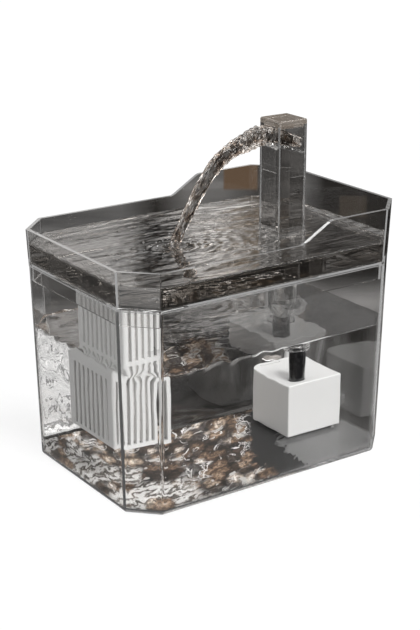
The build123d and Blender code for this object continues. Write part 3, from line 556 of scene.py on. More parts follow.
def water_material(
    name, index, scale, depth, stretch=(1, 1, 1), tint=(0.98, 0.98, 0.98, 1.0),
    wall_depth=None, dim=None, strands=False, shade_band=None, veil=0.0,
):
    """Clear water: Noise heights bend its surface.

    wall_depth adds waviness below the waterline, and dim is the dark tint, painted shadow and reflection of
    the tray above, that the surface takes on away from the filter cage, and a pale matt veil of painted
    sheen grows over it towards the pump. strands gives running water painted dark streaks, reflections of
    the dark
    surroundings: its patterns follow the attribute flow_place in place of the object coordinates.
    shade_band is (slope, start, end) of a slanting band of painted shade, and veil is the share that a pale
    film of painted sheen hides."""
    new = Material(name)
    x, y, z = new.axes()
    if strands:
        place = new.add("Attribute", attribute_name="flow_place").outputs["Vector"]
    else:
        place = new.place(stretch)
    normal = new.bump(new.noise(place, scale, 3.0, 0.6), depth)
    if wall_depth is not None:
        near_top = new.times(new.band(z, 0.078, 0.2, 0.016), new.scaled(x, -0.01, 0.03, 1.0, 0.25))
        swirl = new.noise(new.place((1, 1, 0.6)), 55.0, 1.0)
        normal = new.bump(new.times(swirl, new.plus(near_top, 0.25)), wall_depth, under=normal)
    # painted shadow and reflection of the tray above: the surface turns dark away from the filter cage
    if dim is not None:
        tint = new.blend(new.scaled(x, -0.072, -0.048), tint, dim)
    if shade_band is not None:
        slope, start, end = shade_band
        sway = new.scaled(new.noise(new.place((0.4, 1, 1)), 90.0), 0.3, 0.7, -0.007, 0.007)
        across = new.plus(new.maths("SUBTRACT", x, new.times(y, slope)), sway)
        tint = new.blend(new.band(across, start, end, 0.004), tint, grey(0.06, 0.15))
    # painted reflection: dark and brown streaks in the running water, following its flow
    if strands:
        tint = new.ramp(new.noise(place, 330.0, 3.0, 0.8), [
            (0.38, 0.09, 0.06, 0.045), (0.46, 0.56, 0.44, 0.35), (0.53, 1.0, 0.97, 0.94),
            (1.0, 1.0, 1.0, 1.0),
        ])
    shader = new.principled({
        "Base Color": tint, "Roughness": 0.0, "IOR": index, "Transmission Weight": 1.0, "Normal": normal,
    })
    # painted sheen: a pale matt veil that grows towards the pump
    if dim is not None:
        shader = new.veiled(shader, new.times(new.scaled(x, -0.03, 0.0), 0.16), grey(0.30))
    # painted sheen: a pale matt veil over a share of the water
    if veil:
        shader = new.veiled(shader, veil, grey(0.36))
    return new.finished(new.let_light_through(shader))


def painted_floor_light(name):
    """Painted light on the tank's floor in place of what ripples and refraction show: a warm painted
    reflection of the surroundings, painted folds of light towards the drinking end, a dark zone beside the
    pump that is painted shadow and reflection of the pump, and plain grey beyond."""
    new = Material(name)
    x, y = new.axes()[:2]
    drawn = new.add("Mapping", {
        "Vector": new.coordinates(), "Rotation": (0.0, 0.0, math.radians(48)), "Scale": (1.75, 0.95, 1.0),
    }, vector_type="TEXTURE").outputs[0]
    bend = new.add("TexNoise", {"Vector": drawn, "Scale": 75.0, "Detail": 2.0}).outputs["Color"]
    shift = {0: bend, 1: (0.016, 0.016, 0.0), 2: drawn}
    bent = new.add("VectorMath", shift, operation="MULTIPLY_ADD").outputs[0]
    fold = new.noise(drawn, 82.0, 4.0, 1.5)
    speck = new.noise(drawn, 420.0, 2.0, 0.6)
    area = new.noise(drawn, 45.0, 1.0)

    # painted reflection of the warm surroundings: painted shading that rises to the middle of each cell, a
    # tint picked by the cell, and specks of painted glint and shade
    ripple_cells = new.add("TexVoronoi", {"Vector": bent, "Scale": 95.0, "Randomness": 1.0}).outputs
    cell_shading = new.ramp(ripple_cells["Distance"], [
        (0.0, 0.46, 0.36, 0.27), (0.25, 0.32, 0.22, 0.15), (0.44, 0.19, 0.12, 0.075),
        (0.62, 0.04, 0.026, 0.018),
    ])
    pick = new.add("SeparateColor", {0: ripple_cells["Color"]}).outputs[0]
    tint = new.ramp(pick, [
        (0.0, 0.22, 0.20, 0.19), (0.16, 0.7, 0.66, 0.62), (0.40, 1.0, 1.0, 1.0), (0.66, 1.4, 1.6, 1.8),
        (0.82, 2.0, 2.6, 3.4),
    ], "CONSTANT")
    speck_light = new.ramp(speck, [(0.36, 0.45, 0.42, 0.40), (0.50, 1.0, 1.0, 1.0), (0.62, 1.9, 2.0, 2.1)])
    painted_ripple_light = new.dyed(new.dyed(cell_shading, tint), speck_light)

    # painted caustics, folds of light: painted shade in their troughs, thin bright ridges of painted light
    # in some areas and wide pale ones
    trough_shade = new.times(new.band(fold, 0.1, 0.35, 0.03), 0.8)
    painted_ripple_light = new.blend(trough_shade, painted_ripple_light, (0.028, 0.020, 0.015, 1))
    crest_light = new.times(new.band(fold, 0.545, 0.575, 0.014), new.scaled(area, 0.46, 0.56))
    painted_ripple_light = new.blend(crest_light, painted_ripple_light, (1.0, 0.99, 0.97, 1))
    wide = new.times(new.band(fold, 0.64, 0.95, 0.02), 0.9)
    painted_ripple_light = new.blend(wide, painted_ripple_light, (0.72, 0.70, 0.67, 1))

    # waves of light and dark along X under the filter cage
    comb = new.plus(new.plus(new.times(y, 520.0), new.times(fold, 20.0)), new.times(speck, 4.0))
    pale = new.ramp(new.scaled(new.maths("SINE", comb), -1.0, 1.0), [
        (0.04, 0.05, 0.043, 0.036), (0.26, 0.34, 0.31, 0.28), (0.55, 0.74, 0.72, 0.70),
        (0.80, 1.0, 0.99, 0.97),
    ])
    at_cage = new.times(new.scaled(x, -0.030, -0.060), new.scaled(area, 0.44, 0.52))
    painted_ripple_light = new.blend(new.times(at_cage, 0.85), painted_ripple_light, pale)

    # the painted reflection ends at a slanting line, which turns away near the front wall
    wander = new.scaled(fold, 0.3, 0.7, -0.006, 0.006)
    slant = new.plus(new.maths("SUBTRACT", x, new.times(y, 0.54)), wander)
    slant = new.maths("SUBTRACT", slant, new.scaled(y, -0.028, -0.072, 0.0, 0.026))
    under = new.scaled(slant, 0.023, 0.019)
    # painted shadow and reflection of the pump: a dark zone beside it, and plain grey beyond
    dark = new.times(new.band(slant, 0.012, 0.046, 0.003), new.band(y, -0.060, 0.08, 0.01))
    shade = new.blend(under, new.blend(dark, grey(0.26), grey(0.02)), painted_ripple_light)
    cover = new.larger(new.times(under, 0.95), new.times(dark, 0.85))
    return new.finished(new.principled({
        "Base Color": shade, "Roughness": 0.6, "Alpha": new.larger(cover, 0.40),
    }))


def faint_wall_sheen(name):
    """Water against a wall: all but clear, with faint pale streaks that run up the wall, painted sheen."""
    new = Material(name)
    # painted sheen: faint pale streaks, stretched up the wall
    film = new.noise(new.place((1, 1, 0.4)), 40.0)
    return new.finished(new.principled({
        "Base Color": grey(0.8), "Roughness": 0.3, "Alpha": new.scaled(film, 0.4, 0.8, 0.0, 0.05),
    }))


def moulded(name, colour, roughness, grain=900.0, depth=0.00002, metallic=0.0, coat=0.0):
    """Opaque moulded plastic, rubber or metal with fine grain."""
    new = Material(name)
    values = {"Colour": colour, "Roughness": roughness, "Grain Size": grain}
    look = new.add("Group", values, node_tree=moulded_grain()).outputs
    return new.finished(new.principled({
        "Base Color": look["Colour"], "Roughness": look["Roughness"], "Metallic": metallic,
        "Coat Weight": coat, "Normal": new.bump(look["Height"], depth, 0.6),
    }))


def striped(name, colour, shadow, roughness, metallic, axis, pitch):
    """A surface of thin bands across one axis, such as laminations or wire turns."""
    new = Material(name)
    values = {"Colour": colour, "Roughness": roughness, "Spread": 0.1}
    look = new.add("Group", values, node_tree=moulded_grain()).outputs
    turns = new.maths("SINE", new.times(new.axes()["XYZ".index(axis)], 2 * math.pi / pitch))
    height = new.scaled(turns, -1.0, 1.0)
    return new.finished(new.principled({
        "Base Color": new.blend(height, shadow, look["Colour"]), "Roughness": look["Roughness"],
        "Metallic": metallic, "Normal": new.bump(height, 0.0001),
    }))


def porous(name, light, dark, scale, depth):
    """Foam, felt or granules: Voronoi cells set the height, and the tone turns dark where the surface
    sinks, painted shade in the pores and gaps.
    """
    new = Material(name)
    place = new.place()
    cells = new.add("TexVoronoi", {"Vector": place, "Scale": scale, "Randomness": 1.0}).outputs["Distance"]
    height = new.plus(cells, new.times(new.noise(place, scale * 2.5, 4.0), 0.5))
    # painted shade: the dark colour falls where the inverted bump sinks the surface
    return new.finished(new.principled({
        "Base Color": new.blend(new.scaled(height, 0.25, 0.95), light, dark),
        "Roughness": 0.9, "Normal": new.bump(height, depth, 0.8, invert=True),
    }))


def repaint(material, *nodes):
    """Puts one material on the named frame pieces."""
    for node in nodes:
        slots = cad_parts[node].data.materials
        slots.clear()
        slots.append(material)


# ---------------------------------------------------------------- what a user can change
def colour_choice(name, description, default):
    """A colour property."""
    return bpy.props.FloatVectorProperty(
        name=name, description=description, subtype="COLOR", size=3, default=default, min=0, max=1)


def length_choice(name, description, default, least, most):
    """A length property."""
    return bpy.props.FloatProperty(
        name=name, description=description, default=default, min=least, max=most, unit="LENGTH")


def strength_choice(name, description, default, most):
    """A property from 0 to a greatest value."""
    return bpy.props.FloatProperty(name=name, description=description, default=default, min=0, max=most)


class FountainColours(bpy.types.PropertyGroup):
    """Colours and finish of the fountain's own parts."""

    smoke: colour_choice("Smoke", "Tint of the tank and tray walls", (0.94, 0.935, 0.93))
    tower_smoke: colour_choice("Tower Smoke", "Tint of the spout tower", (0.80, 0.795, 0.79))
    white: colour_choice("White Plastic", "Pump box, cage and plug", (0.88, 0.88, 0.87))
    rubber: colour_choice("Black Rubber", "Riser tube", (0.008, 0.008, 0.009))
    cord: colour_choice("Cord", "Jacket of the cord", (0.86, 0.86, 0.86))


class FountainWater(bpy.types.PropertyGroup):
    """How high the water stands and how it moves."""

    tank_level: length_choice("Tank Level", "Height of the tank water", 0.093, 0.02, 0.12)
    tray_level: length_choice("Tray Level", "Height of the drinking water", 0.1506, 0.14, 0.157)
    tray_ripple: length_choice("Tray Ripple", "Height of the ripples in the tray", 0.00009, 0, 0.002)
    tank_ripple: length_choice("Tank Ripple", "Height of the ripples in the tank", 0.00010, 0, 0.002)
    drops: bpy.props.IntProperty(
        name="Drops", description="Drops round the place where the stream lands", default=26, min=0, max=80)


class FountainStudio(bpy.types.PropertyGroup):
    """Light and backdrop."""

    key: strength_choice("Key Light", "Strength of the key light", 2.4, 20)
    fill: strength_choice("Fill Light", "Brightness of the even light from all round", 0.60, 4)
    shadow: strength_choice(
        "Floor Shadow", "How much of the floor's brightness can fall into shadow", 0.30, 1)


# ---------------------------------------------------------------- operators
class MakeClearShells(bpy.types.Operator):
    """Smoked clear plastic on the tank, the tray and the drain lid"""

    bl_idname = "fountain.clear_shells"
    bl_label = "Tank, Tray and Drain Lid"

    def execute(self, context):
        tint = rgba(context.scene.fountain_colours.smoke)
        repaint(clear_plastic("smoked_wall", tint), "tank", "tray")
        repaint(clear_plastic("smoked_lid", grey(0.20, 0.02)), "drain_lid")
        return {"FINISHED"}


class MakeTower(bpy.types.Operator):
    """Clear column, cap, ramp and spigot of the spout tower with its soft seals"""

    bl_idname = "fountain.tower"
    bl_label = "Spout Tower"

    def execute(self, context):
        tint = rgba(context.scene.fountain_colours.tower_smoke)
        repaint(clear_plastic("smoked_tower", tint), "tower_column")
        cap = clear_plastic("smoked_cap", tint, veil=0.30, veil_colour=(0.31, 0.265, 0.225, 1.0))
        repaint(cap, "tower_cap")
        repaint(clear_plastic("smoked_insert", (0.93, 0.93, 0.925, 1.0)), "spout_ramp", "tower_spigot")
        seal = clear_plastic("soft_seal", grey(0.85), SEAL_INDEX, roughness=0.12)
        repaint(seal, "tower_gasket", "spigot_collar", "suction_cups")
        return {"FINISHED"}


class MakeFilter(bpy.types.Operator):
    """Slatted cage, cartridge rim, fibre sleeve and carbon pouch"""

    bl_idname = "fountain.filter"
    bl_label = "Filter Cage and Cartridge"

    def execute(self, context):
        white = rgba(context.scene.fountain_colours.white)
        repaint(moulded("cage_plastic", white, 0.42), "filter_cage", "filter_frame")

        # the sleeve is drawn in at its two seams and is open at the top
        thickness = 3.6
        low, high = (np.array(c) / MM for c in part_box("filter_pad"))
        outer = soft_block(low + 0.1, high - 0.1, 2.2, 0.5, 64, 120)
        height = outer[..., 2]
        seam = sum(np.exp(-(((height - seam_z) / 0.8) ** 2)) for seam_z in (low[2] + 6, high[2] - 5))
        middle = (low + high) / 2
        outer[..., :2] = middle[:2] + (outer[..., :2] - middle[:2]) * (1 - 0.03 * seam[..., None])
        inner = soft_block(low + thickness, high - (thickness, thickness, 0.1), 1.2, 0.1, 40, 120)
        rings = np.concatenate([outer[:-BLOCK_CAP_ROWS], inner[:-BLOCK_CAP_ROWS][::-1]])
        fibre = porous("filter_fibre", grey(0.90, 0.01), grey(0.72, 0.02), 700.0, 0.0002)
        sleeve = closed_piece("filter_sleeve", rings, fibre)
        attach(sleeve, "cartridge_body")
        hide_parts("filter_pad")

        # the pouch is lumpy, except at its ends
        low, high = (np.array(c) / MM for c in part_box("carbon_pack"))
        rings = soft_block(low + 0.4, high - 0.4, 3.0, 1.1, 70, 110, pinch=1.5)
        lump = waves(rings[..., 1] + rings[..., 0], rings[..., 2], 5, 24, 4.0, 0.5, 0, 90)
        middle = (low + high) / 2
        swell = 0.35 * lump * np.exp(-((np.abs(rings[..., 2] - middle[2]) / 36) ** 8))
        rings[..., 0] += swell * np.sign(rings[..., 0] - middle[0])
        granules = porous("carbon_granules", grey(0.10), grey(0.02), 420.0, 0.0005)
        pouch = closed_piece("carbon_pouch", rings, granules)
        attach(pouch, "cartridge_body")
        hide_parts("carbon_pack")
        return {"FINISHED"}


class MakePump(bpy.types.Operator):
    """White pump box, its cover, riser tube, motor and intake foam"""

    bl_idname = "fountain.pump"
    bl_label = "Pump"

    def execute(self, context):
        colours = context.scene.fountain_colours
        white = moulded("pump_plastic", rgba(colours.white), 0.5, depth=0.00003)
        repaint(white, "pump_case", "intake_cover")
        repaint(moulded("tube_rubber", rgba(colours.rubber), 0.16, grain=300.0, coat=0.6), "riser_tube")
        repaint(
            moulded("motor_plastic", grey(0.03), 0.42),
            "motor_housing", "motor_end_cap", "volute_cover", "flow_dial", "outlet_nozzle",
        )
        repaint(moulded("impeller_plastic", grey(0.8), 0.3), "impeller")
        repaint(moulded("magnet_coat", grey(0.03), 0.35, metallic=0.4), "rotor_magnet")
        repaint(moulded("shaft_ceramic", grey(0.85, 0.02), 0.12), "impeller_shaft")
        repaint(moulded("bush_rubber", grey(0.22), 0.6), "shaft_bushes")
        repaint(striped("core_laminations", grey(0.42), grey(0.12), 0.4, 1.0, "X", 0.0005), "stator_core")
        copper, gaps = (0.72, 0.30, 0.12, 1), (0.2, 0.06, 0.02, 1)
        repaint(striped("coil_wire", copper, gaps, 0.3, 0.9, "Z", 0.0004), "stator_coil")
        low, high = (np.array(c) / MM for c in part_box("foam_sponge"))
        rings = soft_block(low + 0.15, high - 0.15, 0.8, 0.25, 50, 140)
        foam = porous("open_foam", grey(0.13), grey(0.015), 900.0, 0.0006)
        sponge = closed_piece("intake_foam", rings, foam)
        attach(sponge, "cover_body")
        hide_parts("foam_sponge")
        return {"FINISHED"}


def coil_points():
    """The cord's turns in the coil: the angle grows evenly from the start, and radius and height
    follow their tables by the number of turns made."""
    total = (COIL_END - COIL_START) / 360 + WHOLE_TURNS
    turns = np.linspace(0, total, int(total * POINTS_PER_TURN) + 1)
    angle = np.radians(COIL_START + 360 * turns)
    radius = np.interp(turns, COIL_TURNS, COIL_RADII)
    height = np.interp(turns, COIL_TURNS, COIL_HEIGHTS)
    x, y = COIL_CENTRE
    return np.stack([x + radius * np.cos(angle), y + radius * np.sin(angle), height], 1)


class MakeCord(bpy.types.Operator):
    """The cord with its coil, tie, strain relief and plug"""

    bl_idname = "fountain.cord"
    bl_label = "Cord and Plug"

    def execute(self, context):
        colours = context.scene.fountain_colours
        jacket, white = rgba(colours.cord), rgba(colours.white)
        route = np.concatenate([RUN_POINTS, coil_points(), TAIL_POINTS]) * MM
        curve = bpy.data.curves.new("cord", "CURVE")
        curve.dimensions = "3D"
        curve.bevel_depth = CORD_DIAMETER / 2 * MM
        curve.bevel_resolution = 5
        curve.resolution_u = 6
        curve.use_fill_caps = True
        spline = curve.splines.new("NURBS")
        spline.points.add(len(route) - 1)
        spline.points.foreach_set("co", np.column_stack([route, np.ones(len(route))]).ravel())
        spline.order_u = 3
        spline.use_endpoint_u = True
        curve.materials.append(moulded("cord_jacket", jacket, 0.42, grain=1400.0))
        cord = bpy.data.objects.new("cord", curve)
        context.scene.collection.objects.link(cord)
        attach(cord, "tank_body")
        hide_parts("cable_run", "cable_coil", "cable_tail")
        relief = moulded("relief_rubber", jacket, 0.45, grain=1400.0)
        repaint(relief, "plug_relief", "cable_gland", "motor_lead")
        repaint(moulded("plug_plastic", white, 0.3), "plug_body", "plug_tongue", "coil_tie")
        repaint(moulded("grommet_rubber", grey(0.2), 0.6), "cable_grommet")
        repaint(moulded("plug_steel", grey(0.72), 0.22, metallic=1.0, grain=2000.0), "plug_shell")
        repaint(moulded("contact_gold", (0.85, 0.62, 0.25, 1.0), 0.25, metallic=1.0), "plug_contacts")
        return {"FINISHED"}


def tank_water_rings(level, ripple):
    """Rings of the tank water: out over the floor, up the walls, and in over the surface.

    The surface is level plus two sets of sines, and it climbs a little at the walls. The second
    result is the number of rings on the floor.
    """
    base = TANK_FLOOR + FLOOR_GAP
    floor_edge = tank_outline(base, WALL + WATER_GAP)
    floor = between(np.array([0.0, 0.0, base]), at_height(floor_edge, base), (0, 0.3, 0.6, 0.85))
    edge = tank_outline(level, WALL + WATER_GAP)
    edge_x, edge_y = edge.T
    # rows crowd towards the waterline beside the pump, where its normals bend the view least
    climb = 1 - np.linspace(1, 0, WALL_ROWS)[:, None] ** (1 + 0.5 * smooth_rise(edge_x, -40, 5))
    lift = waves(edge_x + edge_y * 0.7, edge_y - edge_x * 0.3, 11, 18, 14.0, 0.6, 0, 90)
    climbing = (0.5 + 0.9 * lift) * (1 - 0.75 * smooth_rise(edge_x, -20, 20))
    heights = base + (level + climbing - base) * climb
    wall_xy = floor_edge + (edge - floor_edge) * climb[..., None]
    wall = np.concatenate([wall_xy, heights[..., None]], -1)
    inward = np.linspace(1, 0, SURFACE_ROWS + 1)[1:]
    surface_xy = edge[None] * inward[:, None, None]
    x, y = surface_xy[..., 0], surface_xy[..., 1]
    swell = waves(x, y, 3, 30, 17.0, 0.6, 12, 50) + 0.5 * waves(x, y, 4, 26, 7.0, 0.4, 0, 70)
    from_edge = (1 - inward)[:, None]
    meniscus = climbing[None] * np.exp(-from_edge * 26)
    z = level + ripple * swell * smooth_rise(from_edge, 0, 0.04) + meniscus
    z[-1] = z[-1].mean()
    return np.concatenate([floor, wall, np.stack([x, y, z], -1)]), len(floor) + 1


def tray_water_rings(level, ripple):
    """Rings of the tray water round the tower: along the surface, down the walls, back over the floor.

    Each ring is a share of the way from the tower's square outline to the tray's. The surface is
    level plus sines that run along X, and rings of waves that die away from the stream's landing.
    """
    base = TRAY_FLOOR + FLOOR_GAP
    outer = tank_outline(level, WALL + WATER_GAP, TRAY_SIDES)
    low_edge = at_height(tank_outline(base, WALL + WATER_GAP, TRAY_SIDES), base)
    hub = np.array([TOWER_X, 0.0])
    toward = outer - hub
    inner = hub + toward / np.abs(toward).max(1, keepdims=True) * (TOWER_SIDE / 2 + WATER_GAP)
    share = np.linspace(0, 1, TRAY_ROWS)
    x, y = np.moveaxis(between(inner, outer, share), -1, 0)
    streaks = 0.8 * waves(x, y, 21, 34, 11.0, 0.5, 0, 10) + waves(x, y, 22, 26, 24.0, 0.5, 4, 22)
    away = np.hypot(x - LANDING[0], (y - LANDING[1]) * 1.25)
    fading = np.exp(-away / 36) * 1.8 * (0.45 + 0.55 * smooth_rise(x, -45, -15))
    rings = np.sin(away * 2 * np.pi / 9.5 + 0.7) * fading
    dimple = -2.2 * np.exp(-((away / 5.0) ** 2)) + 2.4 * np.exp(-(((away - 8.5) / 2.6) ** 2))
    fine = waves(x, y, 23, 30, 4.6, 0.4, 0, 60) * (0.35 + 1.2 * np.exp(-away / 30))
    from_edge = 1 - share[:, None]
    calm = 0.4 + 0.6 * smooth_rise(from_edge, 0, 0.02)
    z = level + ripple * (streaks + rings + 0.22 * fine) * calm + 0.3 * dimple
    z = z + 0.18 * np.exp(-from_edge * 50) * (1 + waves(x, y, 24, 12, 14.0, 0.5, 0, 90))
    surface = np.stack([x, y, z], -1)
    wall = between(surface[-1], low_edge, np.linspace(0, 1, TRAY_WALL_ROWS + 1)[1:])
    floor = between(at_height(inner, base), low_edge, np.linspace(1, 0, 24)[1:])
    column = between(floor[-1], surface[0], np.linspace(0, 1, 6)[1:-1])
    return np.concatenate([surface, wall, floor, column])


class MakeStandingWater(bpy.types.Operator):
    """Water in the tank and in the drinking tray"""

    bl_idname = "fountain.standing_water"
    bl_label = "Standing Water"

    def execute(self, context):
        water = context.scene.fountain_water
        rings, floor_rows = tank_water_rings(water.tank_level / MM, water.tank_ripple / MM)
        points, grid, caps = shell(rings)
        # skins: 0 the walls, 1 the floor, 2 the tower end's walls, 3 the surface
        row, column = np.divmod(np.arange(len(grid)), rings.shape[1])
        top_row = floor_rows + WALL_ROWS - 2
        on_end = (column >= END_SIDES[0]) & (column < END_SIDES[1])
        skin = np.where(row >= top_row, 3, np.where(row < floor_rows - 2, 1, np.where(on_end, 2, 0)))
        skin = np.concatenate([skin, np.repeat([1, 3], rings.shape[1])])
        skins = [
            water_material("tank_water", TANK_INDEX, 60.0, 0.00005, wall_depth=0.0011),
            painted_floor_light("painted_floor_light"), faint_wall_sheen("faint_wall_sheen"),
            # the surface's dark tint away from the filter cage is painted shadow and reflection of the tray
            # above
            water_material("tank_surface", TANK_INDEX, 60.0, 0.00005, dim=grey(0.065, 0.03)),
        ]
        tank = mesh_piece("tank_water", points, grid.tolist() + caps.tolist(), skins, skin)
        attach(tank, "tank_body")

        rings = tray_water_rings(water.tray_level / MM, water.tray_ripple / MM)
        points = rings.reshape(-1, 3)
        faces, = outward(points, quads(*rings.shape[:2], wrap_rows=True))
        # skins: 0 the surface and below, 1 the walls, 2 the wall of the front cut corner
        row, column = np.divmod(np.arange(len(faces)), rings.shape[1])
        on_wall = (row >= TRAY_ROWS - 1) & (row < TRAY_ROWS + TRAY_WALL_ROWS - 1)
        skin = np.where(on_wall, np.where(column < FRONT_FACET, 1, 2), 0)
        # the tray water's slanting darker band is painted shade, and the veil on its front cut corner
        # painted sheen
        looks = {
            "tray_water": {"tint": grey(0.50, 0.03), "shade_band": (0.64, -0.054, -0.020)},
            "tray_edge_water": {"tint": grey(0.10, 0.10)},
            "tray_facet_water": {"tint": grey(0.6, 0.02), "veil": 0.26},
        }
        skins = [
            water_material(name, WATER_INDEX, 90.0, 0.00003, stretch=(0.35, 1, 1), **look)
            for name, look in looks.items()
        ]
        tray = mesh_piece("tray_water", points, faces.tolist(), skins, skin)
        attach(tray, "tray_body")
        return {"FINISHED"}


def tower_water_rings():
    """Rings of the water that rises in the tower: squares from its foot up to the ramp's underside."""
    half = TOWER_SIDE / 2 - TOWER_WALL - WATER_GAP
    corner = np.array([(-1, -1), (1, -1), (1, 1), (-1, 1)]) * half
    side = np.linspace(0, 1, 18, endpoint=False)[:, None]
    square = np.concatenate([corner[i] + (corner[(i + 1) % 4] - corner[i]) * side for i in range(4)])
    square = square + (TOWER_X, 0.0)
    top = RAMP_TOP - (square[:, 0] - RAMP_BACK) * RAMP_SLOPE - RAMP_GAP
    low = at_height(square, TOWER_FOOT)
    column = between(low, np.column_stack([square, top]), np.linspace(0, 1, 40))
    foot = np.array([TOWER_X, 0.0, TOWER_FOOT])
    head = np.array([TOWER_X, 0.0, top.mean()])
    share = (0, 0.4, 0.8)
    return np.concatenate([between(foot, column[0], share), column, between(head, column[-1], share[::-1])])


def stream_rings(rows=220, around=72):
    """Rings of the stream: ellipses across a smooth path, roughened by sines that run with the flow.

    A ring's point is the path's point plus half the width times cosine across and half the
    thickness times sine along the normal, each scaled by 1 plus the roughness. The second grid gives
    each point's place in the straightened stream, shortened along the flow, for patterns that follow it.
    """
    line = smooth_path(STREAM, rows)
    middle, width, depth = line[:, :3], line[:, 3], line[:, 4]
    along = np.gradient(middle, axis=0)
    along /= np.linalg.norm(along, axis=1, keepdims=True)
    across = np.cross(along, (0.0, 0.0, 1.0))
    across /= np.linalg.norm(across, axis=1, keepdims=True)
    normal = np.cross(across, along)
    angle = np.linspace(0, 2 * np.pi, around, endpoint=False)
    travelled = np.concatenate([[0], np.cumsum(np.linalg.norm(np.diff(middle, axis=0), axis=1))])
    s, a = np.meshgrid(travelled, angle, indexing="ij")
    # the angle's cosine and sine feed the sines so that the roughness closes round the stream
    u, v = 5.5 * np.cos(a), 5.5 * np.sin(a)
    cords = waves(s * 0.22 + u, v + 0.05 * s, 31, 30, 3.4, 0.5, 90, 70)
    froth = waves(s + 0.6 * v, u * 1.5 + 0.3 * s, 32, 36, 4.2, 0.5, 0, 90)
    from_mouth = s - travelled[np.argmin(np.abs(middle[:, 0] - MOUTH_X))]
    frothy = smooth_rise(from_mouth, -12, 2) * (1 - 0.75 * smooth_rise(from_mouth, 18, 44))
    rough = 0.04 * cords + 0.06 * froth * frothy + 0.014 * froth
    rough = np.clip(rough, -0.13, 0.13) * smooth_rise(from_mouth, -3, 6)
    # squarer in the mouth, round outside it
    power = 1 - 0.45 * (1 - smooth_rise(from_mouth, -8, 14))
    half_width = (width / 2)[:, None] * (1 + rough)
    half_depth = (depth / 2)[:, None] * (1 + rough)
    sideways = across[:, None] * (half_width * rounded(np.cos(a), power))[..., None]
    outwards = normal[:, None] * (half_depth * rounded(np.sin(a), power))[..., None]
    body = middle[:, None] + sideways + outwards
    first = between(middle[0], body[0], (0, 0.5))
    last = between(middle[-1], body[-1], (0.5, 0))
    flow = np.stack([s * FLOW_STRETCH, half_width * np.cos(a), half_depth * np.sin(a)], -1)
    return np.concatenate([first, body, last]), np.pad(flow, ((2, 2), (0, 0), (0, 0)), "edge")


def drop_mesh(count, seed):
    """Points and faces of small drops thrown round the landing: each a latitude grid with poles."""
    dice = np.random.default_rng(seed)
    distance = 3 + 17 * dice.random(count) ** 1.3
    bearing = dice.uniform(0, 2 * np.pi, count)
    size = 0.35 + 0.75 * dice.random(count) ** 2
    height = SPLASH_HEIGHT + size + 13 * np.exp(-distance / 9) * dice.random(count)
    x, y = LANDING
    centre = np.stack([x + distance * np.cos(bearing), y + distance * np.sin(bearing), height], 1)
    points, grid, caps = shell(ball(8, 12, 1.25))
    start = (np.arange(count) * len(points))[:, None, None]
    all_points = (centre[:, None] + points[None] * size[:, None, None]).reshape(-1, 3)
    faces = (grid[None] + start).reshape(-1, 4).tolist() + (caps[None] + start).reshape(-1, 3).tolist()
    return all_points, faces


class MakeRunningWater(bpy.types.Operator):
    """Water in the tower, the stream from the spout and the drops where it lands"""

    bl_idname = "fountain.running_water"
    bl_label = "Running Water"

    def execute(self, context):
        upflow = water_material("tower_water", TANK_INDEX, 70.0, 0.00008, (1, 1, 0.3), grey(0.7, 0.02))
        tower = closed_piece("tower_water", tower_water_rings(), upflow, smooth=False)
        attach(tower, "tower_body")

        rings, flow = stream_rings()
        # its dark streaks are painted reflection
        running = water_material("stream_water", WATER_INDEX, 260.0, 0.0009, strands=True)
        stream = closed_piece("stream", rings, running)
        flow = np.concatenate([flow[1:-1].reshape(-1, 3), flow[0, :1], flow[-1, :1]]) * MM
        place = stream.data.attributes.new("flow_place", "FLOAT_VECTOR", "POINT")
        place.data.foreach_set("vector", flow.astype(np.float32).ravel())
        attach(stream, "tower_body")

        points, faces = drop_mesh(context.scene.fountain_water.drops, 8)
        clear = water_material("drop_water", WATER_INDEX, 260.0, 0.0002)
        drops = mesh_piece("splash_drops", points, faces, [clear])
        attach(drops, "tray_body")
        return {"FINISHED"}


# ---------------------------------------------------------------- studio
# Studio walls by bearing in degrees, each a grey and a warmth: level with the tray, lower down and high up
WALL_TONES = [
    (-180, 0.04, 0.05), (-160, 0.03, 0.05), (-157, 0.9, 0.0), (-149, 0.9, 0.0), (-146, 0.05, 0.05),
    (-108, 0.03, 0.08), (-104, 1.1, 0.0), (-96, 1.1, 0.0), (-93, 0.05, 0.08), (-38, 0.03, 0.10),
    (-34, 0.8, 0.0), (-27, 0.8, 0.0), (-24, 0.03, 0.10), (6, 0.26, 0.01), (20, 0.22, 0.01),
    (30, 0.012, 0.08), (51.6, 0.014, 0.12), (51.9, 0.17, 0.02), (53.0, 0.17, 0.02), (53.3, 0.035, 0.10),
    (54.9, 0.13, 0.03), (56.2, 0.15, 0.03), (56.5, 0.014, 0.12), (58.2, 0.014, 0.12), (58.5, 0.10, 0.02),
    (66, 0.12, 0.02), (74, 0.02, 0.06), (83.6, 0.02, 0.06), (84.2, 0.6, 0.0), (86, 0.02, 0.05),
    (98, 0.03, 0.04), (112, 0.16, 0.02),
]
LOW_TONES = [
    (-180, 0.06, 0.03), (-150, 0.04, 0.03), (-145, 0.6, 0.01), (-132, 0.5, 0.01), (-126, 0.05, 0.05),
    (-80, 0.05, 0.05), (-70, 0.02, 0.02), (-50, 0.02, 0.03), (-25, 0.05, 0.03), (-18, 0.24, 0.01),
    (-8, 0.22, 0.01), (0, 0.10, 0.02), (16, 1.0, 0.01), (24, 1.2, 0.0), (34, 1.2, 0.0),
    (39, 0.25, 0.02), (45, 0.05, 0.04), (47.5, 0.24, 0.02), (52.6, 0.22, 0.02), (53.8, 0.032, 0.05),
    (57.5, 0.034, 0.05), (59.0, 0.15, 0.02), (66, 0.16, 0.02), (80, 0.05, 0.04), (86, 0.5, 0.01),
    (96, 0.4, 0.01), (102, 0.08, 0.04), (145, 0.06, 0.04),
]
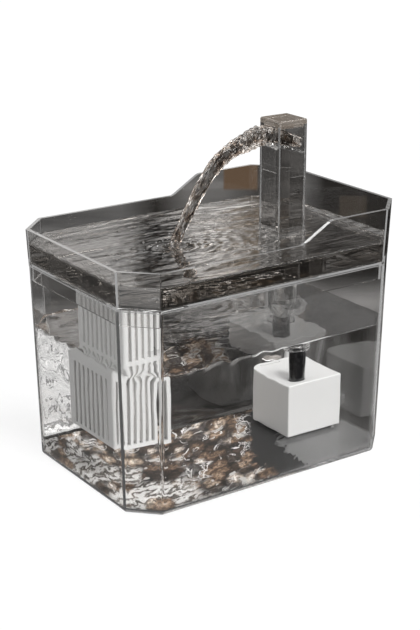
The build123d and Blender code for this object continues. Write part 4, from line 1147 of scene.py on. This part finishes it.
UPPER_TONES = [
    (-180, 0.2, 0.02), (-150, 0.9, 0.0), (-120, 0.2, 0.02), (-60, 0.2, 0.04), (-30, 1.2, 0.0),
    (0, 0.9, 0.01), (30, 0.9, 0.01), (46, 0.35, 0.03), (49, 0.10, 0.05), (52.4, 0.10, 0.05),
    (53.1, 0.28, 0.30), (53.9, 0.38, 0.28), (54.4, 0.85, 0.08), (54.9, 1.7, 0.03), (55.9, 1.8, 0.02),
    (56.6, 0.7, 0.06), (57.1, 0.02, 0.10), (58.2, 0.02, 0.10), (58.9, 0.75, 0.02), (66, 0.8, 0.02),
    (80, 0.2, 0.03), (95, 0.9, 0.0), (120, 0.3, 0.02), (150, 0.9, 0.0),
]
# Heights in degrees over which the lower tones give way to the walls', and those to the upper ones
LOWER_EDGE = (-17.2, -18.4)
UPPER_EDGE = (4.0, 9.0)
# Warm panels on the studio wall: bearings, heights in degrees and colour
TAN_PANELS = [
    (53.5, 54.8, -13.95, -13.1, (0.125, 0.082, 0.052, 1.0)),
    (49.0, 50.0, -15.0, -14.3, (0.042, 0.034, 0.026, 1.0)),
]
LAMPS = 5
LAMP_HEIGHTS = (40.0, 66.0)
LAMP_COLOUR = (7.0, 6.9, 6.8, 1)


def bearing_stops(tones):
    """Ramp stops from a table of bearing, grey and warmth."""
    return [((degrees + 180) / 360, *grey(value, warmth)[:3]) for degrees, value, warmth in tones]


def surround_material():
    """Dark studio walls with pale panels and soft lamps above, by bearing and height from the middle."""
    new = Material("studio_surround")
    unit = new.add("VectorMath", {0: new.coordinates()}, operation="NORMALIZE").outputs[0]
    x, y, z = new.add("SeparateXYZ", {0: unit}).outputs
    bearing = new.times(new.maths("ARCTAN2", y, x), 180 / math.pi)
    height = new.times(new.maths("ARCSINE", z), 180 / math.pi)
    around = new.scaled(bearing, -180, 180)
    wall, low, upper = (new.ramp(around, bearing_stops(t)) for t in (WALL_TONES, LOW_TONES, UPPER_TONES))
    colour = new.blend(new.scaled(height, *LOWER_EDGE), wall, low)
    streak = new.flat_noise(new.times(bearing, 0.12), height, 0.9, 4.0, 0.5)
    colour = new.dyed(colour, new.even(new.scaled(streak, 0.3, 0.7, 0.45, 1.55)))
    vein = new.flat_noise(new.times(bearing, 0.3), new.times(height, 1.6), 0.55, 2.0, 1.5)
    veins = new.times(new.band(vein, 0.485, 0.515, 0.02), new.band(bearing, 20.0, 40.0, 3.0))
    veins = new.times(veins, new.scaled(height, -17.0, -19.0))
    colour = new.blend(new.times(veins, 0.75), colour, (0.12, 0.12, 0.12, 1.0))
    for east, west, bottom, top, tan in TAN_PANELS:
        panel = new.times(new.band(bearing, east, west, 0.12), new.band(height, bottom, top, 0.16))
        colour = new.blend(panel, colour, tan)
    swing = new.flat_noise(new.times(bearing, 0.25), height, 0.24, 2.0, 1.0)
    upper = new.dyed(upper, new.even(new.scaled(swing, 0.38, 0.62, 0.35, 1.65)))
    colour = new.blend(new.scaled(height, *UPPER_EDGE), colour, upper)
    sector = new.maths("FRACT", new.plus(new.times(bearing, LAMPS / 360), 10.17))
    lamp = new.times(new.band(sector, 0.28, 0.66, 0.05), new.band(height, *LAMP_HEIGHTS, 2.0))
    return new.finished(new.glow(new.blend(lamp, colour, LAMP_COLOUR)))


def table_material():
    """The table under the tank: dark grey with slow drift."""
    new = Material("studio_table")
    drift = new.noise(new.place((1, 2, 1)), 25.0, 4.0, 1.0)
    return new.finished(new.glow(new.even(new.scaled(drift, 0.3, 0.7, 0.08, 0.20))))


def floor_material(shadow):
    """Pale floor: a little of it is lit, so that it keeps a shadow, and the rest is its own white."""
    new = Material("pale_floor")
    lit = new.add("BsdfDiffuse", {"Color": (shadow, shadow, shadow, 1.0)}).outputs[0]
    level = new.times(new.seen_background(), 1.03 - shadow * 1.13)
    own = new.glow((1, 1, 1, 1), level)
    return new.finished(new.add("AddShader", {0: lit, 1: own}).outputs[0])


def seen_by(piece, camera, clear, light):
    """Which rays meet a stage piece: those of the camera, of clear and glossy pieces, and of light."""
    piece.visible_camera = camera
    piece.visible_glossy = clear
    piece.visible_transmission = clear
    piece.visible_diffuse = light
    piece.visible_shadow = light
    piece.visible_volume_scatter = False


class BuildStudio(bpy.types.Operator):
    """Camera, lamps, white background, pale floor and the dark surround that clear pieces show"""

    bl_idname = "fountain.studio"
    bl_label = "Studio"

    def execute(self, context):
        scene = context.scene
        studio = scene.fountain_studio
        camera = bpy.data.objects.new("camera", bpy.data.cameras.new("camera"))
        scene.collection.objects.link(camera)
        camera.data.sensor_width = 36.0
        camera.data.lens = LENS
        camera.data.clip_start, camera.data.clip_end = 0.05, 60.0
        camera.location = CAMERA_PLACE
        camera.rotation_euler = np.radians((90 - CAMERA_ELEVATION, 0.0, CAMERA_AZIMUTH))
        scene.camera = camera

        key = bpy.data.objects.new("key_light", bpy.data.lights.new("key_light", "SUN"))
        key.data.energy = studio.key
        key.data.angle = math.radians(SUN_ANGLE)
        key.rotation_euler = np.radians(SUN_TURN)
        scene.collection.objects.link(key)

        world = bpy.data.worlds.new("studio_light")
        world.use_nodes = True
        new = Nodes(world.node_tree)
        new.tree.nodes.clear()
        fill = (studio.fill, studio.fill, studio.fill, 1.0)
        colour = new.blend(new.seen_background(), fill, (1.0, 1.0, 1.0, 1.0))
        sky = new.add("Background", {"Color": colour, "Strength": 1.0}).outputs[0]
        new.add("OutputWorld", {0: sky})
        scene.world = world
        scene.view_settings.view_transform = "Standard"
        for path in ("max", "glossy", "transmission", "transparent_max"):
            setattr(scene.cycles, path + "_bounces", BOUNCES)

        square = np.array([(-1, -1, 0), (1, -1, 0), (1, 1, 0), (-1, 1, 0)], float)
        wide = square * FLOOR_REACH - (0, 0, FLOOR_DROP)
        floor = mesh_piece("floor", wide, [(0, 1, 2, 3)], [floor_material(studio.shadow)])
        seen_by(floor, camera=True, clear=False, light=True)
        under_tank = square * (JOINT_LENGTH / 2, JOINT_WIDTH / 2, 1) - (0, 0, FLOOR_GAP)
        table = mesh_piece("studio_table", under_tank, [(0, 1, 2, 3)], [table_material()])
        seen_by(table, camera=False, clear=True, light=False)
        surround = closed_piece("studio_surround", ball(40, 80) * SURROUND_RADIUS, surround_material())
        seen_by(surround, camera=False, clear=True, light=False)
        return {"FINISHED"}


class FountainPanel(bpy.types.Panel):
    """Lists the fountain's operators and settings"""

    bl_idname = "VIEW3D_PT_fountain"
    bl_label = "Pet Water Fountain"
    bl_space_type = "VIEW_3D"
    bl_region_type = "UI"
    bl_category = "Fountain"

    def draw(self, context):
        for name in SETTINGS:
            group = getattr(context.scene, name)
            box = self.layout.box()
            for setting in group.bl_rna.properties.keys():
                if setting not in ("name", "rna_type"):
                    box.prop(group, setting)
        for operator in OPERATORS:
            self.layout.operator(operator.bl_idname)


SETTINGS = {
    "fountain_colours": FountainColours, "fountain_water": FountainWater, "fountain_studio": FountainStudio,
}
OPERATORS = (
    BuildStudio, MakeCord, MakeClearShells, MakeTower, MakeFilter, MakePump, MakeStandingWater,
    MakeRunningWater,
)


def register():
    for cls in (*SETTINGS.values(), *OPERATORS, FountainPanel):
        bpy.utils.register_class(cls)
    for name, group in SETTINGS.items():
        setattr(bpy.types.Scene, name, bpy.props.PointerProperty(type=group))


def unregister():
    for name in SETTINGS:
        delattr(bpy.types.Scene, name)
    for cls in reversed((*SETTINGS.values(), *OPERATORS, FountainPanel)):
        bpy.utils.unregister_class(cls)


def main():
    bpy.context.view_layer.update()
    register()
    bpy.ops.fountain.studio()
    bpy.ops.fountain.cord()
    bpy.ops.fountain.clear_shells()
    bpy.ops.fountain.tower()
    bpy.ops.fountain.filter()
    bpy.ops.fountain.pump()
    bpy.ops.fountain.standing_water()
    bpy.ops.fountain.running_water()


if __name__ == "__main__":
    main()
